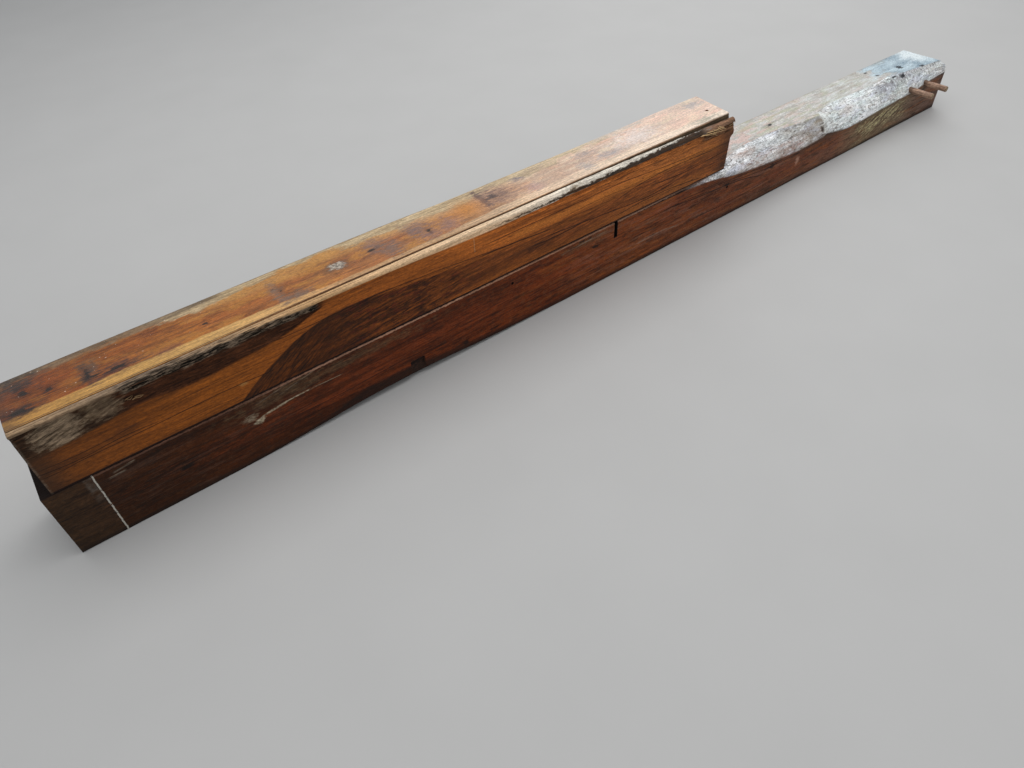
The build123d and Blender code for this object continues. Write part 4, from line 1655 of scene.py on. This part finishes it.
    def relief(self, points: np.ndarray) -> np.ndarray:
        """Lumpy weathered wane, sawn faces that are nearly flat and slight wear on the arrises.

        Args:
            points: The skin without its relief.

        Returns:
            How far each point stands out.
        """
        s = points[..., 0] + LONG_LENGTH / 2
        worn = self.masks[Mask.WORN]
        flat = rumple(points, (320, 70, 70), 1) * 0.5 + rumple(points, (60, 9, 9), 2, 2) * 0.22
        lumps = rumple(points, (95, 44, 44), 11, 3) * 3.4 + rumple(points, (16, 8, 8), 12, 3) * 1.1
        ribs = rumple(points, (60, 7, 7), 13, 2) * 0.9
        swell = ease(s, COLLAR, COLLAR + 60) * ease(s, 3400, 3100) * rumple(points, (70, 36, 36), 14, 2) * 2.2
        upper = self.masks[Mask.UPPER] * ease(s, 2180, 2320)
        sawn = rumple(points, (240, 5, 5), 15, 2) * 0.5 + rumple(points, (40, 18, 18), 16, 2) * 0.5
        out = flat * (1 - worn) + worn * (lumps + ribs + swell - 1.0) + upper * sawn
        calm = ease(abs(s - KERF), KERF_HALF + 0.2, KERF_HALF + 9)
        return out * calm * ease(s, 3599, 3590) * ease(s, 0.5, 8)


@dataclass
class ShortTimber(Timber):
    """Short upper timber, with its bead, open shake, rotted hollows and leaning far end."""

    bead_wear: Stations = (
        (0, 4, 5, 1, 0), (900, 7, 8, 2, 0), (1600, 15, 12, 3, 1), (1900, 19, 13.8, 3, 5),
        (2200, 23, 13.8, 3, 12),
    )
    back_wane: Stations = (
        (0, 2.5, 2.5, 0.6), (930, 2.5, 2.5, 0.6), (1180, 9, 9, 1.5), (1500, 11, 11, 2), (1760, 9, 8, 1.5),
        (2000, 2.5, 2.5, 0.6),
    )
    rot: Stations = (
        (0, 104, 8, 9), (120, 109, 8, 9), (235, 121, 7, 9), (350, 113, 7, 9), (480, 118, 6, 9),
        (590, 131, 5, 9), (660, 152, 3, 9.5), (710, 165, 0.5, 10), (900, 165, 0.0, 14),
        (1180, 157, 0.5, 24), (1450, 152, 4, 24), (1800, 147, 5, 24), (2050, 138, 7, 24),
        (2200, 132, 8, 24),
    )
    shake: Stations = ((-40, 2.5, 8), (2200, 14, 30))
    bead_width: float = 14.0
    shake_floor_share: float = 0.35
    fibres: Sequence[tuple[Colour, Colour, float, float, int]] = (
        ((254.0, -95.0, 362.0), (24.0, 1.0, 6.0), 84.0, -0.1, 6),
        ((300.0, -95.0, 366.0), (24.0, 1.0, 6.0), 54.0, -0.46, 7),
        ((-1556.0, -92.0, 342.0), (16.0, 1.0, 9.0), 22.0, 0.12, 5),
        ((374.0, -88.0, 340.0), (10.0, 5.0, 18.0), 30.0, -0.05, 5),
    )
    end_lean: float = 8.0
    end_skew: float = 24.0
    tip_stand_out: float = 20.0
    tip_bottom: float = 318.0
    foot_round: float = 2.0

    def rows(self) -> np.ndarray:
        """Distances with a section, close together at the ends.

        Returns:
            The distances from the near end, in order.
        """
        stretches = (
            (SHORT_START, 32, 2), (32, 720, 4.2), (720, 1180, 5.4), (1180, 2160, 4.4), (2160, SHORT_END, 2.8),
        )
        found = [stretch(*each) for each in stretches]
        return np.concatenate([*found, [SHORT_END]])

    def outline(self, s: np.ndarray) -> np.ndarray:
        """Section points: underside, front, hollow, bead, shake, top and back.

        Args:
            s: Distance of each row.

        Returns:
            The points.
        """
        rows = len(s)
        along = s - SHORT_START
        bead, back = through(self.bead_wear, along), through(self.back_wane, along)
        bead_face, bead_side, bead_bulge, bead_out = cornered(bead, FRONT_Y, -1, SHORT_TOP_Z, 1)
        back_face, back_side, back_bulge, back_out = cornered(back, SHORT_BACK_Y, 1, SHORT_TOP_Z, 1)
        border, depth, below = through(self.rot, along).T
        width, deep = through(self.shake, along).T
        bead_side = np.minimum(bead_side, [FRONT_Y + self.bead_width - 0.6, np.inf])
        wall = FRONT_Y + self.bead_width
        under = pair(FRONT_Y + self.foot_round, SEAM_Z, rows)
        foot_side = pair(-0.7, -0.7, rows)
        above = pair(FRONT_Y, SEAM_Z + self.foot_round, rows)
        seam = pair(FRONT_Y, SEAM_Z + border, rows)
        inner = pair(FRONT_Y + np.maximum(depth, 0), SHORT_TOP_Z - below - 1.5, rows)
        lip = pair(FRONT_Y, SHORT_TOP_Z - below + np.minimum(1.5, below * 0.1), rows)
        lip[:, 1] = np.minimum(lip[:, 1], bead_face[:, 1] - 0.5)
        inner[:, 1] = np.minimum(inner[:, 1], lip[:, 1] - 2.0)
        bead_in = pair(wall, bead_side[:, 1], rows)
        foot = pair(wall, SHORT_TOP_Z - deep, rows)
        floor = pair(wall + width * self.shake_floor_share, SHORT_TOP_Z - deep, rows)
        opening = pair(wall + width, SHORT_TOP_Z, rows)
        parts = [
            straight(pair(SHORT_BACK_Y, SEAM_Z, rows), under, steps(11, 0.013)),
            rounded(under, above, np.full(rows, 0.5), foot_side, steps(3)),
            straight(above, seam, steps(27, 0.02)),
            straight(seam, inner, steps(16)),
            straight(inner, lip, steps(4)),
            straight(lip, bead_face, steps(4)),
            rounded(bead_face, bead_side, bead_bulge, bead_out, steps(8)),
            straight(bead_side, bead_in, steps(2)),
            straight(bead_in, foot, steps(5)),
            straight(foot, floor, steps(2)),
            straight(floor, opening, steps(5)),
            straight(opening, back_side, steps(40, 0.012)),
            rounded(back_side, back_face, back_bulge, back_out, steps(4)),
            straight(back_face, pair(SHORT_BACK_Y, SEAM_Z, rows), steps(16, 0.013)),
        ]
        self.counts = [part.shape[1] for part in parts]
        section = np.concatenate(parts, 1)
        self.mark(s, section, depth)
        return section

    def mark(self, s: np.ndarray, section: np.ndarray, depth: np.ndarray) -> None:
        """Sets the masks of the hollow, bead and top.

        Args:
            s: Distance of each row.
            section: Its section points.
            depth: Depth of the hollow at each row.
        """
        around = section.shape[1]
        starts = np.concatenate([[0], np.cumsum(self.counts)])
        column = np.arange(around)[None, :] + 0 * s[:, None]
        rotten = ease(depth, 0.3, 2.5)[:, None] * ((column > starts[3]) & (column <= starts[5]))
        strip = ((column > starts[5]) & (column < starts[10])) * 1.0
        upper = ((column >= starts[11]) & (column <= starts[13])) * 1.0
        self.masks = {Mask.WORN: rotten, Mask.STRIP: strip, Mask.UPPER: upper}

    def reach(self, section: np.ndarray) -> np.ndarray:
        """How far past its lower front corner the far end lies at each section point.

        Args:
            section: The points, as y and z.

        Returns:
            The distances.
        """
        y, z = section[..., 0], section[..., 1]
        rise = (z - SEAM_Z) / (SHORT_TOP_Z - SEAM_Z)
        sawn = self.end_lean * rise + self.end_skew * (y - FRONT_Y) / (SHORT_BACK_Y - FRONT_Y)
        inner = FRONT_Y + self.bead_width
        torn = ease(z, self.tip_bottom - 2, self.tip_bottom + 5) * ease(y, inner + 4, inner - 0.5)
        ragged = rumple(np.stack([0 * z, y, z], -1), (9, 6, 6), 27, 2) * 3.5
        return sawn * (1 - torn) + (self.tip_stand_out - 3 + ragged) * torn

    def shift(self, s: np.ndarray, points: np.ndarray) -> np.ndarray:
        """The far end leans out towards its top and back, and its bead is torn."""
        return self.reach(points) * ease(s, SHORT_END - 100, SHORT_END)[:, None]

    def end_place(self, place: Vector, side: int) -> float:
        """X of a point of a sawn end, in metres.

        Args:
            place: The point.
            side: -1 at the near end and 1 at the far one.

        Returns:
            The x.
        """
        if side < 0:
            return super().end_place(place, side)
        section = np.array([[place.y, place.z]]) / MM
        along = SHORT_END + float(self.reach(section)[0]) - LONG_LENGTH / 2
        return (along + self.end_relief(place)) * MM

    def extras(self, bm: bmesh.types.BMesh, layers: Layers) -> None:
        """Adds the fibres that stand out of the rotten and torn wood.

        Args:
            bm: The timber's mesh.
            layers: Its mask layers.
        """
        draw = random.Random(5)
        for place, spread, run, fall, count in self.fibres:
            for _ in range(count):
                start = Vector([value + draw.uniform(-1, 1) * reach for value, reach in zip(place, spread)])
                length = run * draw.uniform(0.45, 1.0)
                step = Vector((length, draw.uniform(-3.0, -0.5), fall * length + draw.uniform(-5, 5)))
                bend = Vector((0, draw.uniform(-2.0, 0), draw.uniform(-3, 3)))
                thick = draw.uniform(0.8, 1.5)
                self.fibre(bm, layers, start, start + step / 2 + bend, thick, thick * 0.8)
                self.fibre(bm, layers, start + step / 2 + bend, start + step, thick * 0.8, thick * 0.25)

    @staticmethod
    def fibre(
        bm: bmesh.types.BMesh, layers: Layers, start: Vector, end: Vector, thick: float, thin: float
    ) -> None:
        """Adds one straight piece of a fibre.

        Args:
            bm: The timber's mesh.
            layers: Its mask layers.
            start: Where it starts, in millimetres in the part's frame.
            end: Where it ends.
            thick: Its radius at the start.
            thin: Its radius at the end.
        """
        turn = (end - start).to_track_quat("Z", "Y").to_matrix().to_4x4()
        place = Matrix.Translation((start + end) / 2 * MM) @ turn
        depth = (end - start).length * MM
        made = bmesh.ops.create_cone(
            bm, cap_ends=True, segments=5, radius1=thick * MM, radius2=thin * MM, depth=depth, matrix=place
        )
        for vert in made["verts"]:
            vert[layers[Mask.STRAW]] = 1.0

    def relief(self, points: np.ndarray) -> np.ndarray:
        """Frayed hollows, a ragged bead and sawn faces that are nearly flat.

        Args:
            points: The skin without its relief.

        Returns:
            How far each point stands out.
        """
        s = points[..., 0] + LONG_LENGTH / 2
        z = points[..., 2]
        worn = self.masks[Mask.WORN]
        strip = self.masks[Mask.STRIP]
        flat = rumple(points, (300, 60, 60), 1) * 0.5 + rumple(points, (70, 8, 8), 2, 2) * 0.25
        fray = rumple(points, (52, 7, 7), 21, 3) * 1.9
        crust = rumple(points, (26, 9, 9), 22, 3) * 3.6 * ease(s, 226, 250) * ease(s, 715, 680)
        crust = crust * ease(z, 355, 366)
        ragged = rumple(points, (30, 7, 7), 24, 3) * ease(s, 1250, 1700) * 1.3
        out = flat * (1 - worn) * (1 - strip) + worn * (fray + crust - 1.4) + strip * (ragged * 0.8 - 0.1)
        return out * ease(s, SHORT_START - 0.5, SHORT_START + 4) * ease(s, SHORT_END + 21, SHORT_END - 4)


@dataclass
class Pegs:
    """Two round pegs that stand out of the long timber's front near its far end."""

    radius: float = 11.0
    stand_out: float = 92.0
    embedded: float = 60.0
    chamfer: float = 2.2
    segments: int = 36
    rings: int = 30
    end_margin: float = 3.0
    end_inset: float = 2.4
    names: tuple[str, str] = ("peg_near", "peg_far")

    def build(self, node: str) -> bpy.types.Object:
        """Makes one peg where its CAD node is.

        Args:
            node: Name of the peg's CAD node.

        Returns:
            The peg's object.
        """
        low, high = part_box(node)
        middle = (low + high) / 2 / MM
        length = self.stand_out + self.embedded
        outer = FRONT_Y - self.stand_out
        radius = self.radius * MM
        place = Vector((middle.x, outer + length / 2, middle.z)) * MM
        bm = bmesh.new()
        bmesh.ops.create_cone(
            bm, cap_ends=True, segments=self.segments, radius1=radius, radius2=radius, depth=length * MM
        )
        bmesh.ops.rotate(bm, verts=bm.verts, matrix=Matrix.Rotation(math.pi / 2, 3, "X"))
        bmesh.ops.translate(bm, verts=bm.verts, vec=place)
        caps = [face for face in bm.faces if len(face.verts) > 4]
        rims = [edge for face in caps for edge in face.edges]
        bmesh.ops.bevel(
            bm, geom=rims, offset=self.chamfer * MM, segments=3, profile=0.5, affect="EDGES", material=-1
        )
        for k in range(1, self.rings):
            at = (outer + self.end_margin + k * (length - 2 * self.end_margin) / self.rings) * MM
            geometry = list(bm.verts) + list(bm.edges) + list(bm.faces)
            bmesh.ops.bisect_plane(
                bm, geom=geometry, dist=CUT_DISTANCE, plane_co=(0, at, 0), plane_no=(0, 1, 0)
            )
        ends = [face for face in bm.faces if len(face.verts) > 8]
        for _ in range(3):
            bmesh.ops.inset_region(bm, faces=ends, thickness=self.end_inset * MM)
        for vert in bm.verts:
            place = np.array([vert.co]) / MM
            axis = Vector((middle.x * MM, vert.co.y, middle.z * MM))
            swell = rumple(place, (7, 34, 7), 31, 2)[0] * 0.35 + rumple(place, (30, 9, 30), 32)[0] * 0.2
            vert.co += (vert.co - axis).normalized() * swell * MM
        for face in bm.faces:
            face.smooth = True
        return linked(bm, node + "_wood")


@dataclass
class Studio:
    """Pale floor, soft light and the camera at the photograph's angle."""

    floor_size: float = 40.0
    floor_drop: float = 0.0005
    sky_colour: tuple[float, ...] = (0.93, 0.96, 1.0, 1.0)
    sky_strength: float = 0.45
    lens: float = 25.18
    sensor: float = 36.0
    place: Colour = (-1.523, -1.4773, 1.3968)
    right: Colour = (0.79198, -0.60894, -0.0443)
    up: Colour = (0.44877, 0.53139, 0.7185)
    forward: Colour = (0.41398, 0.58891, -0.69412)

    def camera(self) -> bpy.types.Object:
        """Makes the camera and sets it as the scene's.

        Returns:
            The camera.
        """
        data = bpy.data.cameras.new("camera")
        data.lens = self.lens
        data.sensor_width = self.sensor
        data.clip_start = 0.02
        data.clip_end = 100.0
        made = bpy.data.objects.new("camera", data)
        bpy.context.scene.collection.objects.link(made)
        turn = Matrix((self.right, self.up, [-v for v in self.forward])).transposed()
        made.matrix_world = Matrix.Translation(self.place) @ turn.to_4x4()
        bpy.context.scene.camera = made
        return made

    def floor(self) -> bpy.types.Object:
        """Makes the pale floor.

        Returns:
            The floor.
        """
        bm = bmesh.new()
        bmesh.ops.create_grid(bm, x_segments=2, y_segments=2, size=self.floor_size / 2)
        bmesh.ops.translate(bm, verts=bm.verts, vec=(0, 0, -self.floor_drop))
        made = linked(bm, "floor")
        b = Bench("pale_floor")
        cloud = b.noise((300.0, 300.0, 300.0), 3.0, 0.5)
        colour = b.mix(cloud, (0.47, 0.466, 0.456), (0.505, 0.5, 0.49))
        made.data.materials.append(b.finish(colour, 0.85, cloud, 0.0002))
        return made

    def lights(self) -> None:
        """Makes the soft overhead light, the bright far side and the even surroundings."""
        world = bpy.data.worlds.new("soft_surroundings")
        bpy.context.scene.world = world
        world.use_nodes = True
        sky = world.node_tree.nodes["Background"]
        sky.inputs["Color"].default_value = self.sky_colour
        sky.inputs["Strength"].default_value = self.sky_strength
        self.panel("overhead", (0.2, 0.4, 4.2), (0.2, 0.2, 0.0), 6.0, 5.0, 150.0)
        self.panel("far_side", (4.8, 3.6, 2.6), (0.6, 0.0, 0.2), 4.0, 3.0, 90.0)
        self.panel("front_fill", (-1.5, -5.5, 2.6), (0.2, 0.0, 0.2), 4.0, 2.5, 30.0)

    def panel(
        self, name: str, place: Colour, target: Colour, width: float, height: float, power: float
    ) -> None:
        """Makes one soft rectangular light.

        Args:
            name: The light's name.
            place: Where it stands.
            target: Where it points.
            width: Its width in metres.
            height: Its height in metres.
            power: Its power in watts.
        """
        data = bpy.data.lights.new(name, "AREA")
        data.shape = "RECTANGLE"
        data.size = width
        data.size_y = height
        data.energy = power
        made = bpy.data.objects.new(name, data)
        bpy.context.scene.collection.objects.link(made)
        made.location = place
        made.rotation_euler = (Vector(target) - Vector(place)).to_track_quat("-Z", "Y").to_euler()

    def build(self) -> None:
        """Makes the whole stage."""
        self.camera()
        self.floor()
        self.lights()
        bpy.context.scene.view_settings.view_transform = "Standard"


def drill(
    made: bpy.types.Object, holes: Sequence[tuple[Colour, Colour]], radius: float = 4.0, depth: float = 24.0
) -> None:
    """Cuts nail holes into a piece.

    Args:
        made: The piece.
        holes: Where each one opens and the direction out of the wood, in millimetres.
        radius: Radius of the holes.
        depth: How deep they are.
    """
    bm = bmesh.new()
    for place, outward in holes:
        turn = Vector(outward).to_track_quat("Z", "Y").to_matrix().to_4x4()
        at = Matrix.Translation(Vector(place) * MM) @ turn
        sizes = {"radius1": radius * MM, "radius2": radius * MM, "depth": 2 * depth * MM}
        bmesh.ops.create_cone(bm, cap_ends=True, segments=20, matrix=at, **sizes)
    cutter = linked(bm, "hole_cutter")
    mesh = cutter.data
    modifier = made.modifiers.new("holes", "BOOLEAN")
    modifier.operation = "DIFFERENCE"
    modifier.solver = "MANIFOLD"
    modifier.object = cutter
    graph = bpy.context.evaluated_depsgraph_get()
    whole = made.evaluated_get(graph)
    cut = bpy.data.meshes.new_from_object(whole, preserve_all_data_layers=True, depsgraph=graph)
    cut.materials.clear()
    made.modifiers.clear()
    old = made.data
    made.data = cut
    bpy.data.meshes.remove(old)
    bpy.data.objects.remove(cutter)
    bpy.data.meshes.remove(mesh)


def dress(made: bpy.types.Object, material: bpy.types.Material, node: str, slot: Slot) -> None:
    """Gives a piece its finish and its place in the frame.

    Args:
        made: The piece.
        material: Its material.
        node: The CAD node that it stands for.
        slot: The record's slot of its finish; not used.
    """
    made.data.materials.append(material)
    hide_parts(node)
    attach(made, "root")
    log.info("%s: %d faces, dressed with %s", made.name, len(made.data.polygons), material.name)


def main() -> None:
    """Builds the stage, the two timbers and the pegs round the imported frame."""
    logging.basicConfig(level=logging.INFO, format="%(message)s")
    random.seed(7)
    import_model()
    Studio().build()
    long_timber = LongTimber("long_timber_wood", "long_timber", Slot.LONG)
    long_skin = long_timber.build()
    drill(long_skin, [((s - LONG_LENGTH / 2, FRONT_Y, z), (0.0, -1.0, 0.0)) for s, z in FRONT_HOLES])
    dress(long_skin, LongWood().make(), long_timber.node, long_timber.slot)
    short_timber = ShortTimber("short_timber_wood", "short_timber", Slot.SHORT)
    short_skin = short_timber.build()
    nail = (TOP_HOLE[0] - LONG_LENGTH / 2, FRONT_Y + TOP_HOLE[1], SHORT_TOP_Z)
    drill(short_skin, [(nail, (0.0, 0.0, 1.0))])
    dress(short_skin, ShortWood().make(), short_timber.node, short_timber.slot)
    pegs = Pegs()
    peg_wood = PegWood().make()
    for name in pegs.names:
        dress(pegs.build(name), peg_wood, name, Slot.PEG)


if __name__ == "__main__":
    main()
